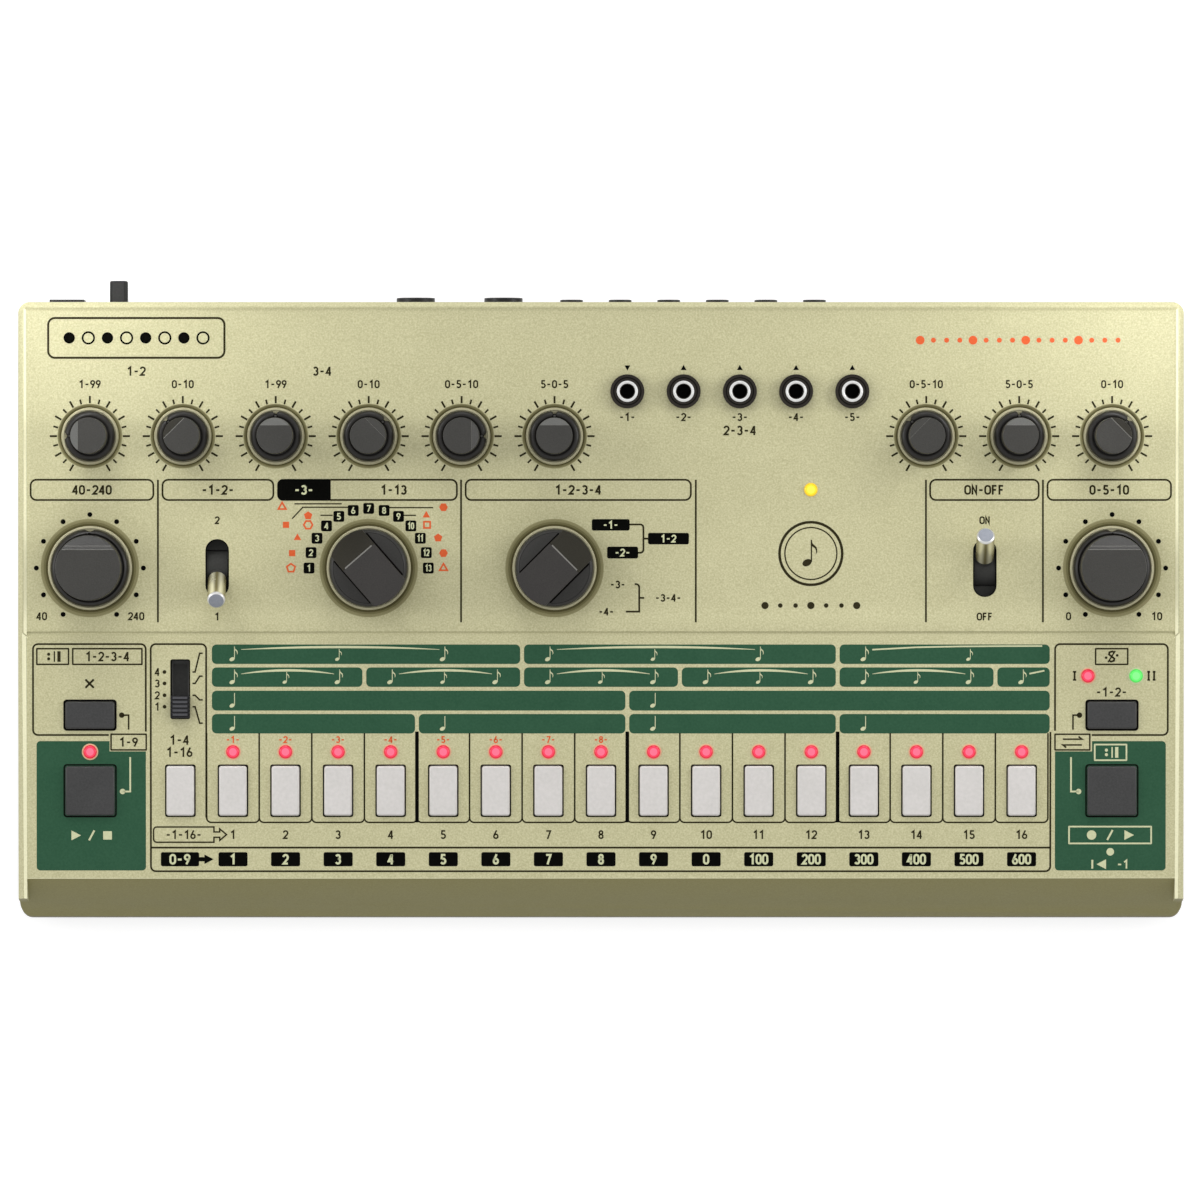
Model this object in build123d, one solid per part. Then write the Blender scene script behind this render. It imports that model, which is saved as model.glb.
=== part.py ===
"""Desktop drum machine: moulded housing, dials, switches, keys, sockets and the boards that carry them.

Millimetres. X runs along the front, +Y to the rear, +Z up. The origin is the bottom centre of the object.
Controls are placed on two sloping decks. On a deck, local x is the row's x, local y runs up the slope to the
rear, and local z is the deck's outward normal, with z = 0 on the painted surface. The rear wall is square to
the upper deck, so it leans; on it local x runs to the left, y up the wall and z out of it.
"""

from build123d import *
import os
from math import atan2, cos, degrees, radians, sin, tan

# ---- housing ----
BODY_WIDTH = 305.0  # over the two side walls
REAR_HEIGHT = 44.0  # table to the rear edge of the upper deck
UPPER_TILT = 6.0  # slope of the upper deck, degrees
LOWER_TILT = 8.0  # slope of the lower deck, degrees
UPPER_LENGTH = 86.1  # rear edge to groove, along the deck
LOWER_LENGTH = 63.1  # groove to front edge, along the deck
GROOVE_WIDTH = 1.6
GROOVE_DEPTH = 0.6
GROOVE_BACK = 0.4  # run of the groove's steep rear flank
DECK_STEP = 0.3  # the lower deck starts this much lower
CHIN_RUN = 8.6  # front edge of the deck to the foot of the front face
PARTING_HEIGHT = 8.0  # table to the joint between top and bottom covers
CORNER_RADIUS = 3.1  # corners in plan
RIM_WIDTH = 2.3  # outer face to the foot of the rim
RIM_HEIGHT = 0.5  # rim above the decks
RIM_SLOPE = 0.8  # run of the rim's inner slope
RIM_BEVEL = 1.1  # outer bevel along the rim
CHEEK_OVERHANG = 5.3  # cheeks run on past the deck's front edge
WALL = 2.2
DECK_THICKNESS = 2.5

# ---- bottom cover and feet ----
FOOT_HEIGHT = 3.0  # table to the underside of the bottom cover
FOOT_RADIUS = 6.5
FOOT_INSET = (20.5, 19.0)  # foot centres from the sides and from the front and rear
FLOOR_THICKNESS = 2.2
TRAY_BEVEL = 1.8
TONGUE_THICKNESS = 1.2
TONGUE_HEIGHT = 2.0
JOINT_GAP = 0.15  # tongue to the wall it stands behind
BOSS_SIZE = 6.0  # square bosses that join the two covers
BOSS_FROM_WALL = 5.0  # boss centres from the side walls' inner faces
BOSS_ROWS = (30.0, -5.0, -62.0)  # y of the bosses
ROOT = 0.5  # how far a boss, post or rib is sunk into the wall that carries it

# ---- dials ----
COLUMN_FROM_SIDE = 18.8  # outermost knobs from the housing's sides
COLUMN_PITCHES = 11  # knob pitches from one outermost column to the other
LEFT_KNOBS = 6  # small knobs from the left
RIGHT_KNOBS = 3  # and from the right
KNOB_ROW = 35.1  # rear edge to the small knobs, along the deck
CONTROL_FROM_GROOVE = 16.5  # large knobs and selectors, along the deck
KNOB_POINTERS = (-90, -45, 0, 45, 90, 0, -45, 0, 45)  # clockwise from the top, at rest
INSTRUMENT_POINTER = -41.0
MODE_POINTER = 45.0
WELL_DEPTH = 0.8
WELL_GAP = 0.3  # skirt to the well's wall and floor
DISH_SLOPE_RUN = 0.8  # outer bevel of a small dial's well
SHAFT_RADIUS = 3.0
SHAFT_GAP = 0.05  # shaft in its potentiometer
SHAFT_HOLE = 7.4  # square clearance hole under a dial
SHAFT_END = 1.0  # shaft's end above the board
SMALL_SKIRT_RADIUS = 6.7
SMALL_SKIRT_TOP = 2.2
SMALL_CAP_RADIUS = 4.7
SMALL_CAP_TOP = 13.5
SMALL_FACET = (2.67, 40.0)  # facet's start ahead of the centre, slope in degrees
SMALL_DISH_RADIUS = 8.4
LARGE_SKIRT_RADIUS = 10.45
LARGE_SKIRT_TOP = 2.6
LARGE_CAP_RADIUS = 8.5
LARGE_CAP_TOP = 15.0
LARGE_FACET = (4.7, 25.0)
LARGE_DISH_RADIUS = 12.8
SELECTOR_DISC_TOP = 4.4
SELECTOR_BAR = (10.7, 14.0)  # width, top
SELECTOR_BAR_INSET = 0.3  # bar's ends inside the disc's edge
SELECTOR_CREST = 3.57  # where the bar starts to slope, ahead of the centre
SELECTOR_NOSE = 6.0  # height of the bar's low end
NOTCH = 0.8  # pointer notch in a skirt

# ---- switches on the upper deck ----
TOGGLE_FROM_COLUMN = 33.3  # toggle to the outermost knob on its side
TOGGLE_TILT = 28.9  # each way
TOGGLE_LENGTH = 17.8  # pivot to tip
TOGGLE_PIVOT = 6.0  # pivot below the deck
TOGGLE_RADIUS = 2.55
TRUNNION_RADIUS = 2.75
TRUNNION_LIP = 0.3  # trunnion's length beyond the lever's diameter
AXLE_RADIUS = 0.8
AXLE_GAP = 0.05
TOGGLE_SLOT = (5.9, 14.9)  # width, length
TOGGLE_BODY = (8.6, 14.4)
TOGGLE_BODY_TOP = 3.0  # deck surface to the body
TOGGLE_END_WALL = 1.5  # walls at the ends of the body's pocket
TOGGLE_FLOOR_GAP = 0.5  # trunnion above the pocket's floor

# ---- panel sockets ----
PANEL_JACK_ROW = 23.4
PANEL_JACK_MARGINS = (19.05, 19.35)  # from the small knobs left and right of the sockets
PANEL_JACK_COUNT = 5
JACK_BORE = 1.8  # radius for a 3.5 mm plug
JACK_BUSHING = 3.0  # radius of the threaded bushing
JACK_DEPTH = 14.5
JACK_BODY = (9.0, 10.5)
NUT_RADIUS = 4.45
NUT_HEIGHT = 2.2  # nut and bushing end together

# ---- lamps ----
LENS_RADIUS = 1.65
LENS_HEIGHT = 0.7
LAMP_STEM = 2.0  # square stem from the lens down to the board
STEM_GAP = 0.1
YELLOW_LAMP_FROM_KNOB = 30.2
YELLOW_LAMP_FROM_CONTROLS = 20.5  # to the row of large knobs
STATUS_LAMP_SPREAD = 6.3  # red to the left of the column, green to the right
STATUS_LAMP_ROW = 10.1  # from the groove, along the lower deck
STEP_LAMP_ROW = 30.0

# ---- keys ----
KEY_ROW = 40.2  # groove to the keys, along the lower deck
KEY_COUNT = 16
KEY_MARGIN = 23.62  # outermost column to the function key and to the last key
KEY_CAP = (7.25, 13.0)
SQUARE_CAP = (12.9, 12.9)
OBLONG_CAP = (12.9, 7.15)
OBLONG_ROW = 20.4
KEY_GAP = 0.22
KEY_PROUD = 1.2  # cap above the deck
KEY_TRAVEL = 1.0
KEY_CORNER = 0.4
KEY_BEVEL = 0.3
KEY_FLANGE = 0.7  # retaining lip beyond the cap
FLANGE_THICKNESS = 0.8
FLANGE_PLAY = 0.3  # lip below the deck's underside
PLUNGER_SIZE = 2.4
PLUNGER_GAP = 0.3
SWITCH_SIZE = 6.2
SWITCH_HEIGHT = 3.6
PLUNGER_ENTRY = 0.8  # plunger inside its switch, at rest

# ---- slide switch ----
SLIDER_SLOT = (4.75, 15.2)
SLIDER_SLOT_ROW = 13.6
SLIDER_CAP = (5.0, 5.8)
SLIDER_TRAVEL = 9.15
SLIDER_CAP_HEIGHT = 2.4
SLIDER_RIB_PITCH = 1.1
SLIDER_RIB_DEPTH = 0.4
SLIDER_RIBS = 5
SLIDER_LIFT = 0.3  # cap above the deck
SLIDER_STEM = (3.2, 3.2)
SLIDER_BODY = (8.6, 20.0)
SLIDER_BODY_DEPTH = 3.3  # deck surface to the body
SLIDER_STEM_ENTRY = 2.0  # stem inside the body
SLIDER_PLAY = 0.3  # round the stem and below it

# ---- boards ----
BOARD_THICKNESS = 1.6
BOARD_FROM_WALL = 10.3  # boards' ends to the side walls' inner faces
CONTROL_BOARD_DEPTH = 13.0  # deck surface to the board
CONTROL_BOARD_REAR = 16.0  # rear edge of the deck to the board's
CONTROL_BOARD_FROM_GROOVE = 5.6
KEY_BOARD_DEPTH = 11.6
KEY_BOARD_ROWS = (2.5, 58.0)
POT_BODY = (9.8, 11.0)
POT_TOP = 5.0  # deck surface to a potentiometer's top
SELECTOR_BODY = (20.0, 20.0)
POST_SIZE = 4.6
POST_FROM_KNOB = 10.1  # the post beside the sockets, to the next small knob
KEY_POST_FROM_COLUMN = 12.7
KEY_POST_ROW = 13.0
KEY_POST_PITCHES = 3  # key pitches from the middle to the inner posts
AXIS_RISE = 6.0  # rear board to the connectors' centres
REAR_BOARD_MARGINS = (5.0, 11.7)  # beyond the centres of the inlet and of the last socket
REAR_BOARD_DEPTH = 37.0
REAR_BOARD_GAP = 0.5
REAR_POST_FROM_INLET = 23.0
REAR_POST_INSETS = (8.5, 33.0)  # from the rear wall's inner face
RIBBON_WIDTH = 25.0
RIBBON_THICKNESS = 0.9
RIBBON_BEND = 3.0
RIBBON_TIGHT_BEND = 1.2
RIBBON_SAG = 3.0  # lowest loop above the tray's floor
HEADER = (29.0, 5.0, 3.0)  # width, length, height
HEADER_INSET = 6.0  # header's centre from its board's edge
REAR_RIBBON_STEP = 8.0  # how far the rear ribbon runs forwards
KEY_RIBBON_X = 75.0

# ---- rear connectors ----
REAR_AXIS_HEIGHT = 18.0  # table to the connectors' centres, on the wall
INLET_FROM_SIDE = 12.0
INLET_FRONT = (9.2, 11.0)
INLET_PROUD = 1.1
INLET_BORE = 3.1
INLET_BORE_DEPTH = 9.5
INLET_PIN = 1.0
INLET_PIN_SET_BACK = 0.5
INLET_LENGTH = 14.0
POWER_FROM_INLET = 13.5
POWER_CAP = (4.7, 5.6)
POWER_PROUD = 6.1
POWER_TRAVEL = 3.0
POWER_BODY = (8.0, 8.4, 14.0)
POWER_GAP = 0.3
POWER_CORNER = 0.8
POWER_STEM = 2.4
POWER_STEM_ENTRY = 2.0  # stem inside its switch, at rest
POWER_STEM_GAP = 0.3
POWER_BODY_GAP = 1.0  # pressed button to its switch
USB_FROM_INLET = 31.7
USB_SHELL = (12.0, 11.0, 15.0)
USB_OPENING = (8.5, 7.8)
USB_DEPTH = 10.0
USB_TONGUE = (5.6, 3.2, 8.0)
DIN_FROM_INLET = (51.8, 73.5)
DIN_BODY = (17.6, 12.5)  # width, length
DIN_RISE = 3.0  # above the other connectors' centres
DIN_FACE_RADIUS = 7.5
DIN_CORE_RADIUS = 5.9
DIN_RING = 0.8  # gap that takes the plug's shell
DIN_RING_DEPTH = 7.0
OUTPUT_FROM_INLET = (91.7, 114.8)
OUTPUT_BORE = 3.25  # radius for a 6.35 mm plug
OUTPUT_BUSHING = 5.05
OUTPUT_PROUD = 1.6
OUTPUT_BODY = (13.0, 32.0)  # width, length
OUTPUT_DEPTH = 32.0
REAR_JACKS_FROM_INLET = 132.75
REAR_JACK_PITCH = 12.8
REAR_JACK_COUNT = 6
REAR_JACK_PROUD = 1.1
PANEL_HOLE_GAP = 0.1  # bushing in its hole

# ---- worked out from the sizes above ----
WELL_FLOOR = -WELL_DEPTH
SKIRT_BASE = WELL_FLOOR + WELL_GAP
HALF_WIDTH = BODY_WIDTH / 2
INNER_HALF_WIDTH = HALF_WIDTH - WALL
BOARD_HALF_WIDTH = INNER_HALF_WIDTH - BOARD_FROM_WALL
FLOOR_TOP = FOOT_HEIGHT + FLOOR_THICKNESS
OUTER_COLUMN = HALF_WIDTH - COLUMN_FROM_SIDE
KNOB_PITCH = 2 * OUTER_COLUMN / COLUMN_PITCHES
CONTROL_ROW = UPPER_LENGTH - CONTROL_FROM_GROOVE
CONTROL_BOARD_ROWS = (CONTROL_BOARD_REAR, UPPER_LENGTH - CONTROL_BOARD_FROM_GROOVE)
KEY_PITCH = 2 * (OUTER_COLUMN - KEY_MARGIN) / KEY_COUNT
SWITCH_TOP = -KEY_BOARD_DEPTH + SWITCH_HEIGHT
SLIDER_ROW = SLIDER_SLOT_ROW + SLIDER_TRAVEL / 2
USB_RISE = USB_SHELL[1] / 2 - AXIS_RISE
THROUGH_DECK = (-DECK_THICKNESS - 1, 1)
THROUGH_WALL = (-WALL - 1, 1)


def sloped(tilt, x, z):
    """(y, z) of a point given along and above a slope that rises towards the rear."""
    angle = radians(tilt)
    return x * cos(angle) - z * sin(angle), x * sin(angle) + z * cos(angle)


UPPER_RUN = -sloped(UPPER_TILT, -UPPER_LENGTH - GROOVE_WIDTH, -DECK_STEP)[0]
LOWER_RUN = -sloped(LOWER_TILT, -LOWER_LENGTH, 0)[0]
BODY_DEPTH = UPPER_RUN + LOWER_RUN + CHIN_RUN  # front face to the deck's rear edge
LEAN = tan(radians(UPPER_TILT))  # run of the rear wall for each millimetre down
POWER_REACH = sloped(UPPER_TILT, POWER_PROUD, KEY_BEVEL - POWER_CAP[1] / 2)[0]  # of its low end edge
REAR_REACH = (REAR_HEIGHT - REAR_AXIS_HEIGHT) * LEAN + POWER_REACH
REAR_Y = (BODY_DEPTH - REAR_REACH) / 2  # centres the object between front face and power button
FRONT_Y = REAR_Y - BODY_DEPTH


def upper_point(y, z=0.0):
    """(y, z) of a point on the upper deck, from its rear edge."""
    run, rise = sloped(UPPER_TILT, y, z)
    return REAR_Y + run, REAR_HEIGHT + rise


def lower_point(y, z=0.0):
    """(y, z) of a point on the lower deck, from the groove."""
    run, rise = sloped(LOWER_TILT, y, z)
    start_y, start_z = upper_point(-UPPER_LENGTH - GROOVE_WIDTH, -DECK_STEP)
    return start_y + run, start_z + rise


def wall_point(height, inset=0.0):
    """(y, z) at a height on the rear wall's outer face, or on a face parallel to it further in."""
    return REAR_Y + (REAR_HEIGHT - height) * LEAN - inset / cos(radians(UPPER_TILT)), height


def rear_point(rise, inset):
    """(y, z) of a point above the rear connectors' axes, measured up the wall and in from its outer face."""
    run, up = sloped(UPPER_TILT, -inset, rise)
    return wall_point(REAR_AXIS_HEIGHT)[0] + run, REAR_AXIS_HEIGHT + up


def deck(point, tilt):
    angle = radians(tilt)
    return Plane(origin=(0, *point), x_dir=(1, 0, 0), z_dir=(0, -sin(angle), cos(angle)))


UPPER = deck(upper_point(0), UPPER_TILT)
LOWER = deck(lower_point(0), LOWER_TILT)
REAR = Plane(origin=(0, *rear_point(0, 0)), x_dir=(-1, 0, 0), z_dir=(0, *sloped(UPPER_TILT, 1, 0)))

SMALL_KNOBS = [-OUTER_COLUMN + KNOB_PITCH * i for i in range(LEFT_KNOBS)]
SMALL_KNOBS += [OUTER_COLUMN - KNOB_PITCH * i for i in reversed(range(RIGHT_KNOBS))]
INSTRUMENT_X = SMALL_KNOBS[3]
MODE_X = SMALL_KNOBS[5]
LARGE_DIALS = (-OUTER_COLUMN, INSTRUMENT_X, MODE_X, OUTER_COLUMN)
TOGGLE_X = OUTER_COLUMN - TOGGLE_FROM_COLUMN
PANEL_JACK_ENDS = (SMALL_KNOBS[5] + PANEL_JACK_MARGINS[0], SMALL_KNOBS[6] - PANEL_JACK_MARGINS[1])
PANEL_JACK_PITCH = (PANEL_JACK_ENDS[1] - PANEL_JACK_ENDS[0]) / (PANEL_JACK_COUNT - 1)
PANEL_JACKS = [PANEL_JACK_ENDS[0] + PANEL_JACK_PITCH * i for i in range(PANEL_JACK_COUNT)]
YELLOW_LAMP = (SMALL_KNOBS[6] - YELLOW_LAMP_FROM_KNOB, CONTROL_ROW - YELLOW_LAMP_FROM_CONTROLS)
FUNCTION_X = -OUTER_COLUMN + KEY_MARGIN
SLIDER_X = FUNCTION_X
STEP_KEYS = [FUNCTION_X + KEY_PITCH * (i + 1) for i in range(KEY_COUNT)]
KEYS = {f"step_key_{i + 1:02d}": (x, KEY_ROW, KEY_CAP) for i, x in enumerate(STEP_KEYS)}
KEYS["function_key"] = (FUNCTION_X, KEY_ROW, KEY_CAP)
KEYS["start_button"] = (-OUTER_COLUMN, KEY_ROW, SQUARE_CAP)
KEYS["write_button"] = (OUTER_COLUMN, KEY_ROW, SQUARE_CAP)
KEYS["clear_button"] = (-OUTER_COLUMN, OBLONG_ROW, OBLONG_CAP)
KEYS["group_button"] = (OUTER_COLUMN, OBLONG_ROW, OBLONG_CAP)
RED_LAMPS = [(x, STEP_LAMP_ROW) for x in STEP_KEYS]
RED_LAMPS += [(-OUTER_COLUMN, STEP_LAMP_ROW), (OUTER_COLUMN - STATUS_LAMP_SPREAD, STATUS_LAMP_ROW)]
GREEN_LAMP = (OUTER_COLUMN + STATUS_LAMP_SPREAD, STATUS_LAMP_ROW)
POST_ROW = (KNOB_ROW + CONTROL_ROW) / 2
POST_COLUMN = OUTER_COLUMN - KNOB_PITCH / 2
CONTROL_POSTS = (-POST_COLUMN, MODE_X - KNOB_PITCH / 2, SMALL_KNOBS[6] - POST_FROM_KNOB, POST_COLUMN)
KEY_POSTS = (OUTER_COLUMN - KEY_POST_FROM_COLUMN, KEY_POST_PITCHES * KEY_PITCH)  # each side of the middle
INLET_X = -HALF_WIDTH + INLET_FROM_SIDE
POWER_X = INLET_X + POWER_FROM_INLET
USB_X = INLET_X + USB_FROM_INLET
DIN_X = [INLET_X + run for run in DIN_FROM_INLET]
OUTPUT_X = [INLET_X + run for run in OUTPUT_FROM_INLET]
REAR_JACKS = [INLET_X + REAR_JACKS_FROM_INLET + REAR_JACK_PITCH * i for i in range(REAR_JACK_COUNT)]
REAR_BOARD_ENDS = (INLET_X - REAR_BOARD_MARGINS[0], REAR_JACKS[-1] + REAR_BOARD_MARGINS[1])
REAR_POST_COLUMNS = (INLET_X + REAR_POST_FROM_INLET, REAR_JACKS[-1])
REAR_POSTS = [(x, inset) for x in REAR_POST_COLUMNS for inset in REAR_POST_INSETS]
BOARD_FROM_FACE = WALL + REAR_BOARD_GAP  # rear board to the wall's outer face


def place(plane, x, y, z=0.0):
    return plane.location * Pos(x, y, z)


def across(profile, width, x=0.0):
    face = make_face(Polyline([(0, y, z) for y, z in profile], close=True))
    return extrude(face, amount=width / 2, dir=(1, 0, 0), both=True).moved(Pos(x, 0, 0))


def post(radius, low, high):
    return Cylinder(radius, high - low, align=(Align.CENTER, Align.CENTER, Align.MIN)).moved(Pos(0, 0, low))


def block(width, length, low, high):
    size = (width, length, high - low)
    return Box(*size, align=(Align.CENTER, Align.CENTER, Align.MIN)).moved(Pos(0, 0, low))


def turned(profile):
    """A solid of revolution about Z from a closed outline of (radius, z) points."""
    return revolve(make_face(Polyline([(r, 0, z) for r, z in profile], close=True)), Axis.Z)


# ---- housing ----
def plan(y_front, y_rear, width, low, high, radius=0.0):
    """An upright block between two depths, with rounded corners if a radius is given."""
    size = (width, y_rear - y_front)
    outline = RectangleRounded(*size, radius) if radius else Rectangle(*size)
    return extrude(outline, amount=high - low).moved(Pos(0, (y_front + y_rear) / 2, low))


def below_decks(depth):
    """(y, z) points along both decks, from the rear forwards, at a depth below their surfaces."""
    meet = (-UPPER_LENGTH - GROOVE_WIDTH / 2, -depth)
    return [upper_point(*meet), lower_point(-LOWER_LENGTH, -depth)]


def housing_block():
    """The outer form with the rims at full height and the cheeks' full side outline."""
    nose = lower_point(-LOWER_LENGTH - CHEEK_OVERHANG, RIM_HEIGHT)
    edge = lower_point(-LOWER_LENGTH)
    fall = (edge[1] - PARTING_HEIGHT) / CHIN_RUN
    foot_z = edge[1] - fall * (edge[0] - nose[0])
    outline = [wall_point(PARTING_HEIGHT), upper_point(0, RIM_HEIGHT), *below_decks(-RIM_HEIGHT)[:1]]
    outline += [nose, (nose[0], foot_z), (FRONT_Y, PARTING_HEIGHT)]
    length = 2 * BODY_DEPTH
    front = plan(FRONT_Y, FRONT_Y + length, BODY_WIDTH, 0, REAR_HEIGHT * 2, CORNER_RADIUS)
    rear = extrude(RectangleRounded(BODY_WIDTH, length, CORNER_RADIUS), amount=REAR_HEIGHT, both=True)
    return across(outline, BODY_WIDTH) & front & place(UPPER, 0, -length / 2) * rear


def deck_recess():
    """What lies above the decks and the front face, between the rims and their inner slopes."""
    width = BODY_WIDTH - 2 * RIM_WIDTH
    edge, foot = lower_point(-LOWER_LENGTH), (FRONT_Y, PARTING_HEIGHT)
    outline = [
        upper_point(-RIM_WIDTH),
        upper_point(-UPPER_LENGTH),
        upper_point(-UPPER_LENGTH - GROOVE_BACK, -GROOVE_DEPTH),
        lower_point(0),
        edge,
        foot,
        (foot[0] - CHIN_RUN, foot[1]),
        (foot[0] - CHIN_RUN, REAR_HEIGHT * 2),
        upper_point(-RIM_WIDTH, REAR_HEIGHT),
    ]
    recess = across(outline, width)
    slope = degrees(atan2(RIM_SLOPE, RIM_HEIGHT))
    upper = (UPPER, -RIM_WIDTH, -UPPER_LENGTH - GROOVE_WIDTH)
    lower = (LOWER, 0, -LOWER_LENGTH - 2 * CHEEK_OVERHANG)
    for plane, rear, front in (upper, lower):
        opening = extrude(Rectangle(width, rear - front), amount=2 * RIM_HEIGHT, taper=-slope)
        recess += place(plane, 0, (rear + front) / 2) * opening
    return recess


def cavity():
    """The space inside the top cover, open at the parting line."""
    edge_y, edge_z = lower_point(-LOWER_LENGTH, -DECK_THICKNESS)
    fall = (lower_point(-LOWER_LENGTH)[1] - PARTING_HEIGHT) / CHIN_RUN
    slant = WALL / sin(atan2(fall, 1))
    front = lower_point(-LOWER_LENGTH)[0] + slant
    top_front = (front - (lower_point(-LOWER_LENGTH)[1] - edge_z) / fall, edge_z)
    outline = [
        wall_point(0, WALL),
        upper_point(-WALL, -DECK_THICKNESS),
        *below_decks(DECK_THICKNESS)[:1],
        top_front,
        (FRONT_Y + slant, PARTING_HEIGHT),
        (FRONT_Y + slant, 0),
    ]
    return across(outline, 2 * INNER_HALF_WIDTH)


def boss_places():
    x = INNER_HALF_WIDTH - BOSS_FROM_WALL
    return [(side * x, y) for side in (-1, 1) for y in BOSS_ROWS]


def dial_well(dish, bevel_run):
    """Well for a knob's skirt, with a bevel round it, and the shaft's clearance hole."""
    outline = [(0, WELL_FLOOR), (dish - bevel_run, WELL_FLOOR), (dish, 0), (dish, 1), (0, 1)]
    return turned(outline) + block(SHAFT_HOLE, SHAFT_HOLE, *THROUGH_DECK)


def slot(width, length, low, high):
    return extrude(SlotOverall(length, width, rotation=90), amount=high - low).moved(Pos(0, 0, low))


def top_cover():
    """The moulded cover: rims and cheeks round two recessed decks, with wells, slots and key holes."""
    body = housing_block()
    body = chamfer(body.edges().filter_by(outer_rim), RIM_BEVEL)
    body = body - deck_recess() - cavity()
    cuts = [place(UPPER, x, -KNOB_ROW) * dial_well(SMALL_DISH_RADIUS, DISH_SLOPE_RUN) for x in SMALL_KNOBS]
    large_well = dial_well(LARGE_DISH_RADIUS, 2 * DISH_SLOPE_RUN)
    cuts += [place(UPPER, x, -CONTROL_ROW) * large_well for x in LARGE_DIALS]
    jack_hole = post(JACK_BUSHING + PANEL_HOLE_GAP, *THROUGH_DECK)
    cuts += [place(UPPER, x, -PANEL_JACK_ROW) * jack_hole for x in PANEL_JACKS]
    toggle_slot = slot(*TOGGLE_SLOT, *THROUGH_DECK)
    cuts += [place(UPPER, x, -CONTROL_ROW) * toggle_slot for x in (-TOGGLE_X, TOGGLE_X)]
    stem_hole = block(LAMP_STEM + 2 * STEM_GAP, LAMP_STEM + 2 * STEM_GAP, *THROUGH_DECK)
    cuts.append(place(UPPER, YELLOW_LAMP[0], -YELLOW_LAMP[1]) * stem_hole)
    cuts += [place(LOWER, x, -row) * stem_hole for x, row in [*RED_LAMPS, GREEN_LAMP]]
    for x, row, (width, length) in KEYS.values():
        cuts.append(place(LOWER, x, -row) * block(width + 2 * KEY_GAP, length + 2 * KEY_GAP, *THROUGH_DECK))
    cuts.append(place(LOWER, SLIDER_X, -SLIDER_SLOT_ROW) * block(*SLIDER_SLOT, *THROUGH_DECK))
    body = body - cuts - rear_wall_holes()
    supports = [boss(x, y) for x, y in boss_places()]
    supports += [board_post(UPPER, x, POST_ROW, CONTROL_BOARD_DEPTH) for x in CONTROL_POSTS]
    key_posts = [side * x for x in KEY_POSTS for side in (-1, 1)]
    supports += [board_post(LOWER, x, KEY_POST_ROW, KEY_BOARD_DEPTH) for x in key_posts]
    return body + supports + groove_rib()


def outer_rim(edge):
    """Is this one of the long top edges of the housing's outer form, along the sides or the rear?"""
    rear_top = upper_point(0, RIM_HEIGHT)[0]
    box = edge.bounding_box()
    on_side = abs(abs(edge.center().X) - HALF_WIDTH) < 0.01 and box.size.Y > CORNER_RADIUS * 2
    on_rear = abs(edge.center().Y - rear_top) < 0.01 and box.size.X > CORNER_RADIUS * 2
    return (on_side or on_rear) and box.min.Z > PARTING_HEIGHT + 1


def boss(x, y):
    """A boss from the deck's underside down to the tray's floor."""
    sunk = ROOT - DECK_THICKNESS
    if y > upper_point(-UPPER_LENGTH)[0]:
        top = upper_point((y - REAR_Y) / cos(radians(UPPER_TILT)), sunk)[1]
    else:
        top = lower_point((y - LOWER.origin.Y) / cos(radians(LOWER_TILT)), sunk)[1]
    return block(BOSS_SIZE, BOSS_SIZE, FLOOR_TOP, top).moved(Pos(x, y, 0))


def board_post(plane, x, row, depth):
    return place(plane, x, -row) * block(POST_SIZE, POST_SIZE, -depth, ROOT - DECK_THICKNESS)


def groove_rib():
    """Stiffening rib behind the groove, between the two boards."""
    depth = KEY_BOARD_DEPTH - DECK_THICKNESS
    rib = block(2 * BOARD_HALF_WIDTH, GROOVE_WIDTH, -depth, ROOT - DECK_THICKNESS)
    return place(UPPER, 0, -UPPER_LENGTH - GROOVE_WIDTH / 2) * rib


def rear_wall_holes():
    """Openings in the rear wall for every connector and the power button."""

    def window(x, rise, size, gap):
        return place(REAR, -x, rise) * block(size[0] + 2 * gap, size[1] + 2 * gap, *THROUGH_WALL)

    cuts = [window(INLET_X, 0, INLET_FRONT, PANEL_HOLE_GAP), window(POWER_X, 0, POWER_CAP, POWER_GAP)]
    cuts.append(window(USB_X, USB_RISE, USB_SHELL, PANEL_HOLE_GAP))
    rounds = [(x, DIN_RISE, DIN_FACE_RADIUS) for x in DIN_X]
    rounds += [(x, 0, OUTPUT_BUSHING) for x in OUTPUT_X] + [(x, 0, JACK_BUSHING) for x in REAR_JACKS]
    for x, rise, radius in rounds:
        cuts.append(place(REAR, -x, rise) * post(radius + PANEL_HOLE_GAP, *THROUGH_WALL))
    return cuts


def bottom_cover():
    """Tray with a tongue that stands inside the top cover's walls."""
    rear_foot = wall_point(PARTING_HEIGHT)[0]
    tray = plan(FRONT_Y, rear_foot, BODY_WIDTH, FOOT_HEIGHT, PARTING_HEIGHT, CORNER_RADIUS)
    tray = chamfer(tray.faces().sort_by(Axis.Z)[0].edges(), TRAY_BEVEL)
    slant = CHIN_RUN / (lower_point(-LOWER_LENGTH)[1] - PARTING_HEIGHT)
    front = FRONT_Y + WALL * (1 + slant) + JOINT_GAP + TONGUE_HEIGHT * slant
    half = HALF_WIDTH - WALL - JOINT_GAP
    tongue_top = PARTING_HEIGHT + TONGUE_HEIGHT
    rear = wall_point(tongue_top, WALL + JOINT_GAP)[0]
    tray += plan(front, rear, 2 * half, PARTING_HEIGHT - ROOT, tongue_top)
    inner = 2 * (half - TONGUE_THICKNESS)
    tray -= plan(front + TONGUE_THICKNESS, rear - TONGUE_THICKNESS, inner, FLOOR_TOP, tongue_top + 1)
    return tray + [standoff(x, inset) for x, inset in REAR_POSTS]


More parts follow.
